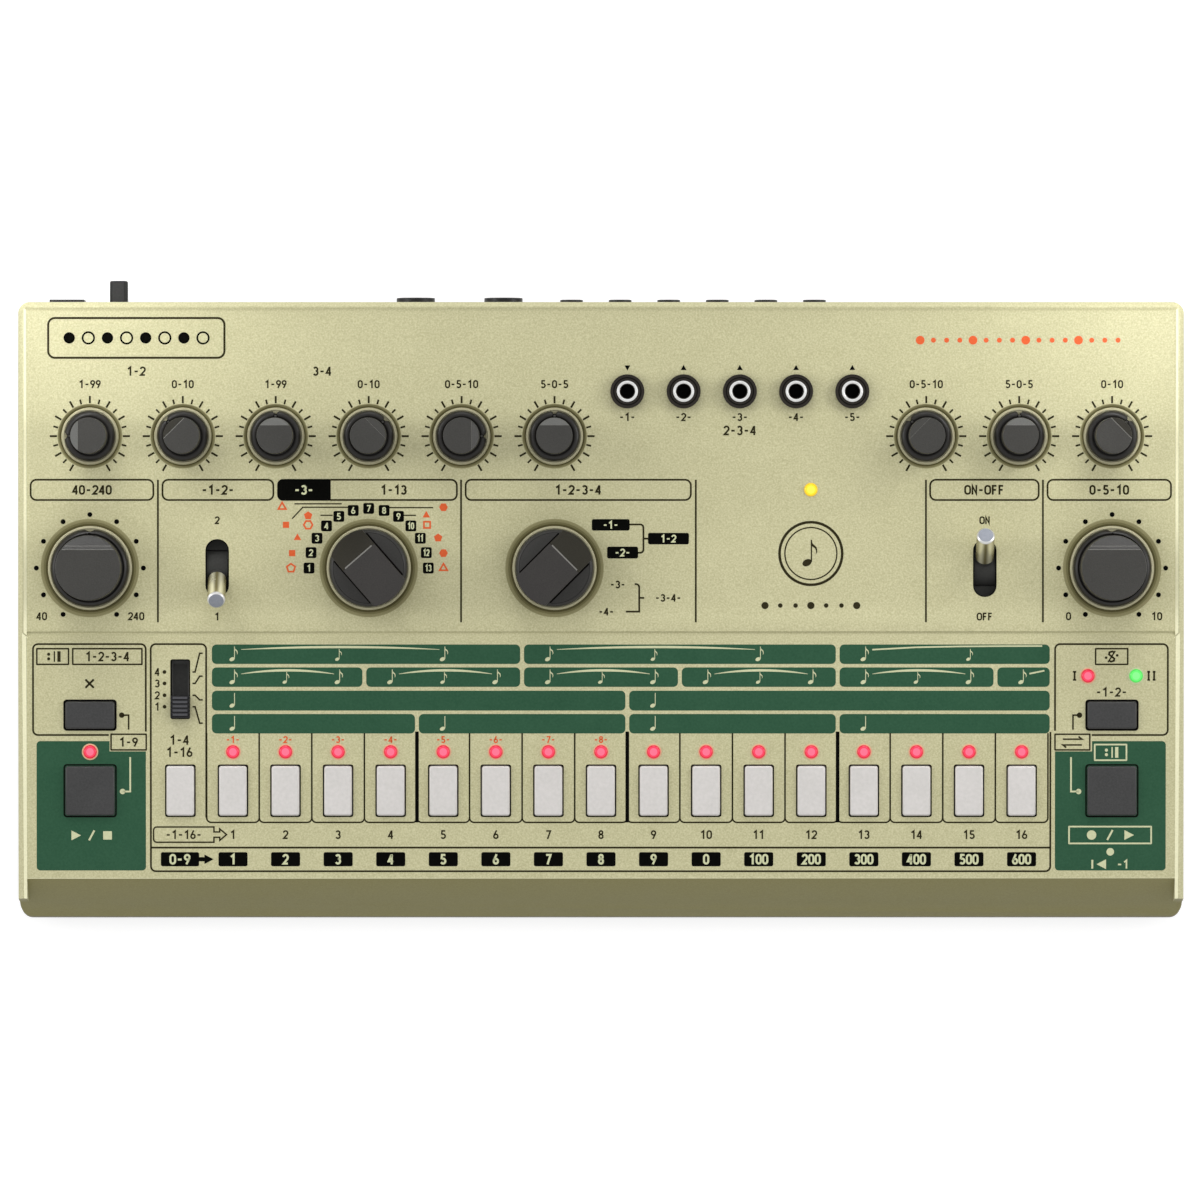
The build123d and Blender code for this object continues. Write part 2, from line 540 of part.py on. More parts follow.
def standoff(x, inset):
    """A post from the tray's floor to the underside of the sloping rear board."""
    under = -AXIS_RISE - BOARD_THICKNESS
    y = rear_point(under, WALL + inset)[0]
    waste = Box(BODY_DEPTH, BODY_DEPTH, BODY_DEPTH, align=(Align.CENTER, Align.MIN, Align.CENTER))
    column = block(POST_SIZE, POST_SIZE, FLOOR_TOP - ROOT, REAR_AXIS_HEIGHT).moved(Pos(x, y, 0))
    return column - place(REAR, -x, under) * waste


def foot_places():
    x = HALF_WIDTH - FOOT_INSET[0]
    rows = (FRONT_Y + FOOT_INSET[1], wall_point(PARTING_HEIGHT)[0] - FOOT_INSET[1])
    return [(side * x, y) for side in (-1, 1) for y in rows]


def rubber_feet():
    return [post(FOOT_RADIUS, 0, FOOT_HEIGHT).moved(Pos(x, y, 0)) for x, y in foot_places()]


# ---- dials ----
def on_shaft(skirt_radius, skirt_top):
    """A skirt with its shaft below, and the notch that points."""
    shaft = post(SHAFT_RADIUS, -CONTROL_BOARD_DEPTH + SHAFT_END, SKIRT_BASE)
    notch = block(NOTCH, 2 * NOTCH, SKIRT_BASE - 1, skirt_top + 1).moved(Pos(0, skirt_radius, 0))
    return post(skirt_radius, SKIRT_BASE, skirt_top) + shaft - notch


def sloping(start, top, slope):
    """What is above a facet that starts ahead of the centre, at a height, and falls towards +Y."""
    waste = block(BODY_WIDTH, BODY_WIDTH, 0, top).moved(Pos(0, BODY_WIDTH / 2, 0))
    return Pos(0, start, top) * Rot(-slope, 0, 0) * waste


def small_knob():
    cap = post(SMALL_CAP_RADIUS, SMALL_SKIRT_TOP, SMALL_CAP_TOP)
    start, slope = SMALL_FACET
    return on_shaft(SMALL_SKIRT_RADIUS, SMALL_SKIRT_TOP) + (cap - sloping(start, SMALL_CAP_TOP, slope))


def large_knob():
    cap = post(LARGE_CAP_RADIUS, LARGE_SKIRT_TOP, LARGE_CAP_TOP)
    start, slope = LARGE_FACET
    return on_shaft(LARGE_SKIRT_RADIUS, LARGE_SKIRT_TOP) + (cap - sloping(start, LARGE_CAP_TOP, slope))


def selector_knob():
    """A disc with a raised grip bar that slopes down to the pointer."""
    width, top = SELECTOR_BAR
    ends = post(LARGE_SKIRT_RADIUS - SELECTOR_BAR_INSET, SELECTOR_DISC_TOP, top)
    bar = block(width, 2 * LARGE_SKIRT_RADIUS, SELECTOR_DISC_TOP, top) & ends
    slope = degrees(atan2(top - SELECTOR_NOSE, LARGE_SKIRT_RADIUS - SELECTOR_CREST))
    return on_shaft(LARGE_SKIRT_RADIUS, SELECTOR_DISC_TOP) + (bar - sloping(SELECTOR_CREST, top, slope))


def dial(body, x, row, pointer):
    return place(UPPER, x, -row) * Rot(0, 0, -pointer) * body


def rotary_body(size, x, row):
    """A potentiometer or rotary switch on the board, with a pocket that takes the shaft."""
    well = 2 * (SHAFT_RADIUS + SHAFT_GAP)
    pocket = block(well, well, -CONTROL_BOARD_DEPTH + SHAFT_END, 0)
    return place(UPPER, x, -row) * (block(*size, -CONTROL_BOARD_DEPTH, -POT_TOP) - pocket)


def pot_bodies():
    places = [(x, KNOB_ROW) for x in SMALL_KNOBS] + [(x, CONTROL_ROW) for x in (-OUTER_COLUMN, OUTER_COLUMN)]
    return [rotary_body(POT_BODY, x, row) for x, row in places]


def selector_bodies():
    return [rotary_body(SELECTOR_BODY, x, CONTROL_ROW) for x in (INSTRUMENT_X, MODE_X)]


# ---- toggle and slide switches ----
def toggle(x, tilt):
    """Lever, trunnion and axle in one piece, tilted about X."""
    trunnion = Rot(0, 90, 0) * Cylinder(TRUNNION_RADIUS, 2 * TOGGLE_RADIUS + TRUNNION_LIP)
    axle = Rot(0, 90, 0) * Cylinder(AXLE_RADIUS, TOGGLE_BODY[0])
    lever = post(TOGGLE_RADIUS, 0, TOGGLE_LENGTH) + trunnion + axle
    return place(UPPER, x, -CONTROL_ROW, -TOGGLE_PIVOT) * Rot(tilt, 0, 0) * lever


def toggle_body(x):
    """Switch body whose pocket holds the trunnion; its side walls carry the axle."""
    width, length = TOGGLE_BODY
    pocket = (2 * (TOGGLE_RADIUS + TRUNNION_LIP), length - 2 * TOGGLE_END_WALL)
    floor = -TOGGLE_PIVOT - TRUNNION_RADIUS - TOGGLE_FLOOR_GAP
    body = block(width, length, -CONTROL_BOARD_DEPTH, -TOGGLE_BODY_TOP) - block(*pocket, floor, 0)
    body -= Pos(0, 0, -TOGGLE_PIVOT) * Rot(0, 90, 0) * Cylinder(AXLE_RADIUS + AXLE_GAP, 2 * width)
    return place(UPPER, x, -CONTROL_ROW) * body


def scale_slider():
    """Ribbed cap on a stem, at the front end of its travel."""
    low, high = SLIDER_LIFT, SLIDER_LIFT + SLIDER_CAP_HEIGHT
    cap = block(*SLIDER_CAP, low, high)
    groove = block(SLIDER_CAP[0] + 1, SLIDER_RIB_PITCH / 2, high - SLIDER_RIB_DEPTH, high + 1)
    first = -SLIDER_RIB_PITCH * (SLIDER_RIBS - 1) / 2
    for i in range(SLIDER_RIBS):
        cap -= groove.moved(Pos(0, first + SLIDER_RIB_PITCH * i, 0))
    cap += block(*SLIDER_STEM, -SLIDER_BODY_DEPTH - SLIDER_STEM_ENTRY, low)
    return place(LOWER, SLIDER_X, -SLIDER_ROW) * cap


def slide_switch_body():
    width, length = SLIDER_STEM
    track = (width + 2 * SLIDER_PLAY, length + SLIDER_TRAVEL + 2 * SLIDER_PLAY)
    body = block(*SLIDER_BODY, -KEY_BOARD_DEPTH, -SLIDER_BODY_DEPTH)
    body -= block(*track, -SLIDER_BODY_DEPTH - SLIDER_STEM_ENTRY - SLIDER_PLAY, 0)
    return place(LOWER, SLIDER_X, -SLIDER_SLOT_ROW) * body


# ---- keys ----
def button_cap(width, length, low, high, corner):
    """A rectangular cap along Z with cut corners and a bevelled top."""
    cap = chamfer(block(width, length, low, high).edges().filter_by(Axis.Z), corner)
    return chamfer(cap.faces().sort_by(Axis.Z)[-1].edges(), KEY_BEVEL)


def key(size):
    """Cap through the deck, retaining lip under it, and a plunger into the switch."""
    lip_top = -DECK_THICKNESS - FLANGE_PLAY
    lip_low = lip_top - FLANGE_THICKNESS
    width, length = size
    lip = block(width + 2 * KEY_FLANGE, length + 2 * KEY_FLANGE, lip_low, lip_top)
    plunger = block(PLUNGER_SIZE, PLUNGER_SIZE, SWITCH_TOP - PLUNGER_ENTRY, lip_low)
    return button_cap(width, length, lip_top, KEY_PROUD, KEY_CORNER) + lip + plunger


def key_switches():
    well = PLUNGER_SIZE + 2 * PLUNGER_GAP
    body = block(SWITCH_SIZE, SWITCH_SIZE, -KEY_BOARD_DEPTH, SWITCH_TOP)
    body -= block(well, well, SWITCH_TOP - PLUNGER_ENTRY - KEY_TRAVEL - PLUNGER_GAP, 0)
    return [place(LOWER, x, -row) * body for x, row, _ in KEYS.values()]


# ---- lamps ----
def lamp(depth):
    """A round lens that rests on the deck, on a stem through it that stands on the board."""
    return post(LENS_RADIUS, 0, LENS_HEIGHT) + block(LAMP_STEM, LAMP_STEM, -depth, 0)


# ---- sockets ----
def panel_jacks():
    """Sockets under the deck, each with its bushing through it and the nut that holds it."""
    body = block(*JACK_BODY, -CONTROL_BOARD_DEPTH, -DECK_THICKNESS)
    body += post(JACK_BUSHING, -DECK_THICKNESS, 0) + post(NUT_RADIUS, 0, NUT_HEIGHT)
    body -= post(JACK_BORE, NUT_HEIGHT - JACK_DEPTH, NUT_HEIGHT)
    return [place(UPPER, x, -PANEL_JACK_ROW) * body for x in PANEL_JACKS]


def rear_block(width, height, back, front=-WALL):
    """A connector's body behind the rear wall, along Z, standing on the rear board."""
    return block(width, height, -back, front).moved(Pos(0, height / 2 - AXIS_RISE, 0))


def rear_socket(bushing, bore, proud, width, back, depth):
    """A socket with a bushing through the rear wall and an open bore."""
    body = rear_block(width, 2 * AXIS_RISE, back) + post(bushing, -WALL, proud)
    return body - post(bore, proud - depth, proud)


def rear_jacks():
    body = rear_socket(JACK_BUSHING, JACK_BORE, REAR_JACK_PROUD, JACK_BODY[0], JACK_DEPTH, JACK_DEPTH)
    return [place(REAR, -x, 0) * body for x in REAR_JACKS]


def output_sockets():
    width, back = OUTPUT_BODY
    body = rear_socket(OUTPUT_BUSHING, OUTPUT_BORE, OUTPUT_PROUD, width, back, OUTPUT_DEPTH)
    return [place(REAR, -x, 0) * body for x in OUTPUT_X]


def dc_inlet():
    """A rectangular front with a round bore and its contact pin."""
    width, height = INLET_FRONT
    floor = INLET_PROUD - INLET_BORE_DEPTH
    body = block(width, height, INLET_PROUD - INLET_LENGTH, INLET_PROUD)
    body += rear_block(width, AXIS_RISE, INLET_LENGTH - INLET_PROUD)
    body -= post(INLET_BORE, floor, INLET_PROUD)
    body += post(INLET_PIN, floor, INLET_PROUD - INLET_PIN_SET_BACK)
    return place(REAR, -INLET_X, 0) * body


def power_button():
    cap = button_cap(*POWER_CAP, -WALL, POWER_PROUD, POWER_CORNER)
    low = -WALL - POWER_TRAVEL - POWER_BODY_GAP - POWER_STEM_ENTRY
    return place(REAR, -POWER_X, 0) * (cap + block(POWER_STEM, POWER_STEM, low, -WALL))


def power_switch_body():
    width, height, length = POWER_BODY
    front = -WALL - POWER_TRAVEL - POWER_BODY_GAP
    body = rear_block(width, AXIS_RISE + height / 2, length - front, front)
    well = POWER_STEM + 2 * POWER_STEM_GAP
    floor = front - POWER_STEM_ENTRY - POWER_TRAVEL - POWER_STEM_GAP
    return place(REAR, -POWER_X, 0) * (body - block(well, well, floor, 0))


def usb_socket():
    width, height, length = USB_SHELL
    shell = block(width, height, -length, 0) - block(*USB_OPENING, -USB_DEPTH, 1)
    tongue_width, tongue_height, tongue_length = USB_TONGUE
    shell += block(tongue_width, tongue_height, -USB_DEPTH, -USB_DEPTH + tongue_length)
    return place(REAR, -USB_X, USB_RISE) * shell


def midi_sockets():
    """Round sockets: a core inside a gap for the plug's shell."""
    width, length = DIN_BODY
    body = block(width, 2 * (AXIS_RISE + DIN_RISE), -length, -WALL) + post(DIN_FACE_RADIUS, -WALL, 0)
    core = post(DIN_CORE_RADIUS, -DIN_RING_DEPTH, 0)
    body -= post(DIN_CORE_RADIUS + DIN_RING, -DIN_RING_DEPTH, 0) - core
    return [place(REAR, -x, DIN_RISE) * body for x in DIN_X]


# ---- boards and ribbons ----
def deck_board(plane, rows, depth):
    rear, front = rows
    board = block(2 * BOARD_HALF_WIDTH, front - rear, -depth - BOARD_THICKNESS, -depth)
    return place(plane, 0, -(front + rear) / 2) * board


def rear_board():
    """The board under the rear connectors, square to the rear wall."""
    low, high = REAR_BOARD_ENDS
    board = block(high - low, BOARD_THICKNESS, -BOARD_FROM_FACE - REAR_BOARD_DEPTH, -BOARD_FROM_FACE)
    return place(REAR, -(low + high) / 2, -AXIS_RISE - BOARD_THICKNESS / 2) * board


def link(start, start_tilt, side, end, end_tilt, between, bend):
    """Flat cable with a header at each end; side is 1 if the start's header stands on its board."""
    height = HEADER[2]
    headers = [
        Pos(0, *point) * Rot(tilt, 0, 0) * Pos(0, 0, way * height / 2) * Box(*HEADER)
        for point, tilt, way in ((start, start_tilt, side), (end, end_tilt, -1))
    ]
    first, last = (start[0], start[1] + side * height), (end[0], end[1] - height)
    points = [first, (start[0], between), (end[0], between), last]
    path = FilletPolyline([(0, y, z) for y, z in points], radius=[bend, bend])
    section = Plane(origin=(0, *first), x_dir=(1, 0, 0), z_dir=(0, 0, side))
    return [*headers, sweep(section * Rectangle(RIBBON_WIDTH, RIBBON_THICKNESS), path=path)]


def ribbon_cables():
    """One ribbon hangs between the two deck boards, the other climbs from the rear board."""
    under_control = -CONTROL_BOARD_DEPTH - BOARD_THICKNESS
    control = upper_point(-CONTROL_BOARD_ROWS[1] + HEADER_INSET, under_control)
    keys = lower_point(-KEY_BOARD_ROWS[0] - HEADER_INSET, -KEY_BOARD_DEPTH - BOARD_THICKNESS)
    hanging = link(control, UPPER_TILT, -1, keys, LOWER_TILT, FLOOR_TOP + RIBBON_SAG, RIBBON_BEND)
    rear = rear_point(-AXIS_RISE, BOARD_FROM_FACE + REAR_BOARD_DEPTH - HEADER_INSET)
    over = upper_point((rear[0] - REAR_RIBBON_STEP - REAR_Y) / cos(radians(UPPER_TILT)), under_control)
    climbing = link(rear, UPPER_TILT, 1, over, UPPER_TILT, (rear[1] + over[1]) / 2, RIBBON_TIGHT_BEND)
    return [part.moved(Pos(KEY_RIBBON_X, 0, 0)) for part in hanging] + climbing


# ---- the whole object ----
def nodes():
    made = {"top_cover": top_cover(), "bottom_cover": bottom_cover()}
    for i, (x, pointer) in enumerate(zip(SMALL_KNOBS, KNOB_POINTERS)):
        made[f"voice_knob_{i + 1}"] = dial(small_knob(), x, KNOB_ROW, pointer)
    made["tempo_knob"] = dial(large_knob(), -OUTER_COLUMN, CONTROL_ROW, 0)
    made["volume_knob"] = dial(large_knob(), OUTER_COLUMN, CONTROL_ROW, 0)
    made["instrument_selector"] = dial(selector_knob(), INSTRUMENT_X, CONTROL_ROW, INSTRUMENT_POINTER)
    made["mode_selector"] = dial(selector_knob(), MODE_X, CONTROL_ROW, MODE_POINTER)
    made["left_toggle"] = toggle(-TOGGLE_X, TOGGLE_TILT)
    made["right_toggle"] = toggle(TOGGLE_X, -TOGGLE_TILT)
    made["scale_slider"] = scale_slider()
    for name, (x, row, size) in KEYS.items():
        made[name] = place(LOWER, x, -row) * key(size)
    made["power_button"] = power_button()
    made["control_board"] = deck_board(UPPER, CONTROL_BOARD_ROWS, CONTROL_BOARD_DEPTH)
    made["key_board"] = deck_board(LOWER, KEY_BOARD_ROWS, KEY_BOARD_DEPTH)
    made["rear_board"] = rear_board()
    made["pot_bodies"] = pot_bodies()
    made["selector_bodies"] = selector_bodies()
    made["toggle_switch_bodies"] = [toggle_body(-TOGGLE_X), toggle_body(TOGGLE_X)]
    made["slide_switch_body"] = slide_switch_body()
    made["key_switches"] = key_switches()
    made["panel_jacks"] = panel_jacks()
    made["rear_jacks"] = rear_jacks()
    made["output_sockets"] = output_sockets()
    made["dc_inlet"] = dc_inlet()
    made["usb_socket"] = usb_socket()
    made["midi_sockets"] = midi_sockets()
    made["power_switch_body"] = power_switch_body()
    made["red_lamps"] = [place(LOWER, x, -row) * lamp(KEY_BOARD_DEPTH) for x, row in RED_LAMPS]
    made["yellow_lamp"] = place(UPPER, YELLOW_LAMP[0], -YELLOW_LAMP[1]) * lamp(CONTROL_BOARD_DEPTH)
    made["green_lamp"] = place(LOWER, GREEN_LAMP[0], -GREEN_LAMP[1]) * lamp(KEY_BOARD_DEPTH)
    made["rubber_feet"] = rubber_feet()
    made["ribbon_cables"] = ribbon_cables()
    return made


os.makedirs("parts", exist_ok=True)
for name, shape in nodes().items():
    whole = Compound(children=shape) if isinstance(shape, list) else shape
    export_step(whole, f"parts/{name}.step")
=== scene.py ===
from math import cos, hypot, pi, radians, sin, sqrt, tan

import bmesh
import bpy
from mathutils import Matrix, Vector


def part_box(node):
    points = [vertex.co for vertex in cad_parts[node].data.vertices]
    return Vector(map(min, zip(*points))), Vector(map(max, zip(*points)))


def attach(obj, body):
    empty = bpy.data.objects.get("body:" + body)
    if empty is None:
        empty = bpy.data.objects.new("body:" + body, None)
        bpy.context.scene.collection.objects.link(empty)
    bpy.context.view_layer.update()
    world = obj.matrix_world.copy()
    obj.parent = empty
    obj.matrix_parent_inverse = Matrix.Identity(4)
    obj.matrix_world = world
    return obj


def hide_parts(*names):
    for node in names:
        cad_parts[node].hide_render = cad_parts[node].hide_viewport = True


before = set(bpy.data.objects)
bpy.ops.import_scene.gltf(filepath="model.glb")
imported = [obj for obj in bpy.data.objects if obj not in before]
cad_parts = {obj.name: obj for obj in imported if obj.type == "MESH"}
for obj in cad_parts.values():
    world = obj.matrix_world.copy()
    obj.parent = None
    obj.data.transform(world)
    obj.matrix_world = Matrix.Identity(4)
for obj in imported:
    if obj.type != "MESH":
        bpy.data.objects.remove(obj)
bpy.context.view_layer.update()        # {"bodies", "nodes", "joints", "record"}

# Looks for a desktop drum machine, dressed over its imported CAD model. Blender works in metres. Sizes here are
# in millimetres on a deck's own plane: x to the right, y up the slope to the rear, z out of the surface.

MM = 0.001

# ---- planes ----
REAR_HEIGHT = 44.0
PARTING_HEIGHT = 8.0
UPPER_TILT = 6.0
LOWER_TILT = 8.0
UPPER_LENGTH = 87.7  # rear edge to the lower deck, along the slope
LOWER_LENGTH = 63.1  # on from there to the front edge
DECK_STEP = 0.3
REAR_AXIS_HEIGHT = 18.0
LEAN = tan(radians(UPPER_TILT))  # the rear wall is square to the upper deck
REAR_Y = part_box("top_cover")[1].y / MM - (REAR_HEIGHT - PARTING_HEIGHT) * LEAN
REAR_AXIS_DEPTH = (REAR_HEIGHT - REAR_AXIS_HEIGHT) / cos(radians(UPPER_TILT))


def tilted(tilt, y, z):
    """Matrix from a deck's millimetres to the object's metres; y and z place its rear edge."""
    start = Matrix.Translation(Vector((0, y, z)) * MM)
    return start @ Matrix.Rotation(radians(tilt), 4, "X") @ Matrix.Scale(MM, 4)


UPPER = tilted(UPPER_TILT, REAR_Y, REAR_HEIGHT)
LOWER_START = UPPER @ Vector((0, -UPPER_LENGTH, -DECK_STEP)) / MM
LOWER = tilted(LOWER_TILT, LOWER_START.y, LOWER_START.z)
FLAT = Matrix.Scale(MM, 4)
# on the rear wall x runs to the left, y up the wall and z out of it
REAR = UPPER @ Matrix(((-1, 0, 0, 0), (0, 0, 1, 0), (0, 1, 0, -REAR_AXIS_DEPTH), (0, 0, 0, 1)))


def at(plane, x, y, z=0.0, turn=0.0, axis="Z"):
    """A plane moved to a place on it and turned there, in degrees."""
    return plane @ Matrix.Translation((x, y, z)) @ Matrix.Rotation(radians(turn), 4, axis)


# ---- places shared by print and pieces ----
OUTER_COLUMN = 133.7
KNOB_PITCH = 2 * OUTER_COLUMN / 11
SMALL_KNOBS = [-OUTER_COLUMN + KNOB_PITCH * i for i in (0, 1, 2, 3, 4, 5, 9, 10, 11)]
POINTERS = (-90, -45, 0, 45, 90, 0, -45, 0, 45)  # of the small knobs, clockwise from the top
KNOB_ROW = -35.1
CONTROL_ROW = -69.6
INSTRUMENT_X = SMALL_KNOBS[3]
INSTRUMENT_POINTER = -41.0
MODE_X = SMALL_KNOBS[5]
MODE_POINTER = 45.0
LARGE_DIALS = (-OUTER_COLUMN, INSTRUMENT_X, MODE_X, OUTER_COLUMN)
TOGGLE_X = 100.4
TOGGLE_TILT = 28.9
TOGGLE_PIVOT = 6.0
PANEL_JACKS = [6.9 + 14.71 * i for i in range(5)]
PANEL_JACK_ROW = -23.4
NUT_TOP = 2.2
KEY_PITCH = 13.76
STEPS = [KEY_PITCH * i for i in range(-7, 9)]
KEY_ROW = -40.2
OBLONG_ROW = -20.4
STEP_LAMP_ROW = -30.0
STATUS_LAMPS = ((127.4, -10.1), (140.0, -10.1))
YELLOW_LAMP = (54.9, -49.1)
RED_LAMPS = [(x, STEP_LAMP_ROW) for x in STEPS] + [(-OUTER_COLUMN, STEP_LAMP_ROW), STATUS_LAMPS[0]]
SLIDER_X = STEPS[0] - KEY_PITCH
SLIDER_ROW = -13.6
REAR_JACKS = [-7.75 + 12.8 * i for i in range(6)]
OUTPUTS = (-48.8, -25.7)
DIN_PLACES = (-88.7, -67.0)
DIN_RISE = 3.0


# ---- materials ----
def screen(levels, share=1.0):
    """A shader's colour, or a share of it, from 0 to 255 levels as seen on a screen."""
    shares = [v / 255 for v in levels]
    return tuple(share * (v / 12.92 if v <= 0.04 else ((v + 0.055) / 1.055) ** 2.4) for v in shares) + (1.0,)


def feed(tree, node, values):
    """Set a node's inputs, by name or number, each to a value or from another node's output."""
    for name, value in values.items():
        if isinstance(value, bpy.types.NodeSocket):
            tree.links.new(value, node.inputs[name])
        else:
            node.inputs[name].default_value = value


def added(tree, kind, output, values=None, operation=None):
    """The named output of a new shader node with its inputs fed."""
    node = tree.nodes.new("ShaderNode" + kind)
    if operation:
        node.operation = operation
    feed(tree, node, values or {})
    return node.outputs[output]


def ramp(tree, source, stops):
    """A colour that follows a source through (position, colour) stops."""
    node = tree.nodes.new("ShaderNodeValToRGB")
    elements = node.color_ramp.elements
    for i, (position, colour) in enumerate(stops):
        stop = elements[i] if i < 2 else elements.new(position)
        stop.position, stop.color = position, colour
    feed(tree, node, {"Fac": source})
    return node.outputs["Color"]


PATCHES = 8.0  # size of the broader patches
LENS_GLOW = 0.95
RAMP_ENDS = (0.32, 0.68)  # between these the noise runs from the low tone to the high one
ROUGHNESS_SPREAD = 0.06
RELIEF = 0.1  # depth of the grain's bump


def moulded(name, low, high, grain, roughness, bump=0.0, metallic=0.0, coat=0.0, gloss=0.5,
            share=0.35, dim=1.0):
    """A surface whose colour runs between two tones, in a fine grain and a share of broader patches."""
    made = bpy.data.materials.new(name)
    made.use_nodes = True
    tree = made.node_tree
    place = added(tree, "TexCoord", "Object")
    fine, broad = [
        added(tree, "TexNoise", "Fac", {"Scale": 1 / (size * MM), "Detail": detail, "Vector": place})
        for size, detail in ((grain, 2), (PATCHES, 3))]
    mixed = added(tree, "Mix", "Result", {"Factor": share, "A": fine, "B": broad})
    rough = added(tree, "MapRange", "Result", {
        "Value": broad, "To Min": roughness - ROUGHNESS_SPREAD, "To Max": roughness + ROUGHNESS_SPREAD})
    shader = tree.nodes["Principled BSDF"]
    feed(tree, shader, {
        "Base Color": ramp(tree, mixed, zip(RAMP_ENDS, (screen(low, dim), screen(high, dim)))),
        "Roughness": rough, "Metallic": metallic, "Coat Weight": coat, "Specular IOR Level": gloss})
    if bump:
        relief = {"Strength": bump, "Distance": RELIEF * MM, "Height": fine}
        feed(tree, shader, {"Normal": added(tree, "Bump", "Normal", relief)})
    return made


def lit(name, colour):
    """A lens with light behind it."""
    made = moulded(name, colour, colour, 0.5, 0.2, coat=0.4, gloss=0.3, dim=0.35)
    shader = made.node_tree.nodes["Principled BSDF"]
    feed(made.node_tree, shader, {"Emission Color": screen(colour), "Emission Strength": LENS_GLOW})
    return made


def reflection_banded(name, low, high, width):
    """Bright metal with painted reflections: a soft light band and a dark one for each width in mm across the
    object.
    """
    made = moulded(name, low, high, 1.5, 0.25, metallic=0.35)
    tree = made.node_tree
    scale = 2 * pi / (20 * width * MM)  # Blender's wave runs through 20 radians for each unit
    wave = added(tree, "TexWave", "Fac", {"Scale": scale, "Vector": added(tree, "TexCoord", "Object")})
    bands = ramp(tree, wave, ((0, screen(low)), (1, screen(high))))
    feed(tree, tree.nodes["Principled BSDF"], {"Base Color": bands})
    return made


LEVER_REFLECTION_BAND = TOGGLE_X / 44  # so that a painted reflection, a light band, runs up the middle of both levers
PAINT = moulded("paint_olive_gold", (176, 172, 131), (202, 198, 158), 0.42, 0.45, 0.3, share=0.12)
# painted highlight: the cover's paint, paler, on the slopes of the side rims and the eased front edge
PAINT_HIGHLIGHT = moulded("paint_painted_highlight", (232, 229, 190), (243, 240, 202), 0.42, 0.4, 0.2, share=0.12)
BASE = moulded("base_dark_olive", (92, 88, 62), (104, 100, 72), 0.6, 0.55, 0.4, gloss=0.3)
# painted shade: the wells' bevels in darker tones of the cover's paint, darkest at their foot
DISH_SHADE = moulded("dish_shaded", (142, 137, 98), (150, 145, 106), 0.4, 0.5, 0.2, gloss=0.2)
DISH_SHADE_MIDDLE = moulded("dish_middle", (120, 115, 78), (128, 123, 86), 0.4, 0.5, 0.2, gloss=0.2)
DISH_SHADE_FOOT = moulded("dish_painted_shade_foot", (84, 79, 50), (92, 87, 56), 0.4, 0.5, 0.2, gloss=0.2)
# painted shade: the cover's paint, darker and more saturated, on the front face
CHIN_SHADE = moulded("paint_front_painted_shade", (145, 139, 92), (155, 149, 102), 0.42, 0.5, 0.25, gloss=0.15, share=0.12)
CREAM = moulded("ring_cream", (190, 185, 152), (202, 197, 164), 0.5, 0.35, 0.1, metallic=0.2)
KNOB = moulded("knob_black", (51, 50, 47), (59, 58, 55), 0.35, 0.36, 0.3, gloss=0.3)
SKIRT = moulded("skirt_black", (26, 24, 22), (34, 32, 29), 0.4, 0.36, 0.1, gloss=0.3)
# painted light and shade: copies of the knobs' black, lighter and darker, for sloping faces by the way each
# faces
FACET_PAINTED_LIGHT = moulded("knob_facet_bright", (80, 80, 77), (88, 88, 85), 0.35, 0.36, 0.3, gloss=0.3)
FACET_PAINTED_HALF_SHADE = moulded("knob_facet_painted_half_shade", (47, 46, 44), (54, 53, 51), 0.35, 0.4, 0.3, gloss=0.25)
FACET_PAINTED_SHADE = moulded("knob_facet_dark", (38, 36, 31), (44, 42, 36), 0.35, 0.45, 0.3, gloss=0.15)
# painted highlight: the pale line along the edge of a knob's and a selector's sloping face
EDGE = moulded("knob_edge", (112, 111, 106), (126, 125, 120), 0.35, 0.4, gloss=0.3)
SELECTOR = moulded("selector_black", (51, 49, 48), (58, 56, 54), 0.35, 0.5, 0.3, gloss=0.18)
SELECTOR_DISC = moulded("selector_disc", (50, 49, 47), (57, 56, 54), 0.35, 0.4, 0.2, gloss=0.2)
KEY_WHITE = moulded("key_white", (203, 200, 196), (214, 210, 207), 0.9, 0.4, 0.1, gloss=0.4)
KEY_DARK = moulded("key_dark", (54, 54, 54), (64, 64, 64), 0.5, 0.42, 0.3, gloss=0.25)
SLIDER_RIB = moulded("slider_rib", (68, 68, 71), (77, 77, 80), 0.5, 0.4, 0.2, gloss=0.2)
SLIDER_DARK = moulded("slider_dark", (24, 24, 26), (32, 32, 34), 0.5, 0.4, 0.2, gloss=0.2)
NUT = moulded("nut_black", (34, 30, 26), (42, 38, 33), 0.4, 0.45, 0.2, gloss=0.15)
BLACK = moulded("socket_black", (24, 24, 24), (33, 33, 33), 0.5, 0.4, 0.2, gloss=0.25)
# near black for pips and trunnions, and painted shade in gaps, holes, grooves, screw crosses and along the
# selector bars' feet
BLACK_AND_SHADE = moulded("deep_black", (14, 13, 12), (20, 19, 18), 0.8, 0.7, gloss=0)
SLOT_DARK = moulded("slot_dark", (97, 97, 95), (107, 107, 105), 0.8, 0.7, gloss=0.1)
TIP = moulded("lever_tip", (138, 142, 151), (148, 152, 161), 0.6, 0.5, gloss=0.2)
# painted shade: dark grey that stands in for the shade down in a lever's slot, on the lever's foot, the curved
# covers and the slot plates
SLOT_SHADE = moulded("lever_boot", (56, 56, 54), (62, 62, 60), 0.6, 0.7, 0.1, gloss=0.05)
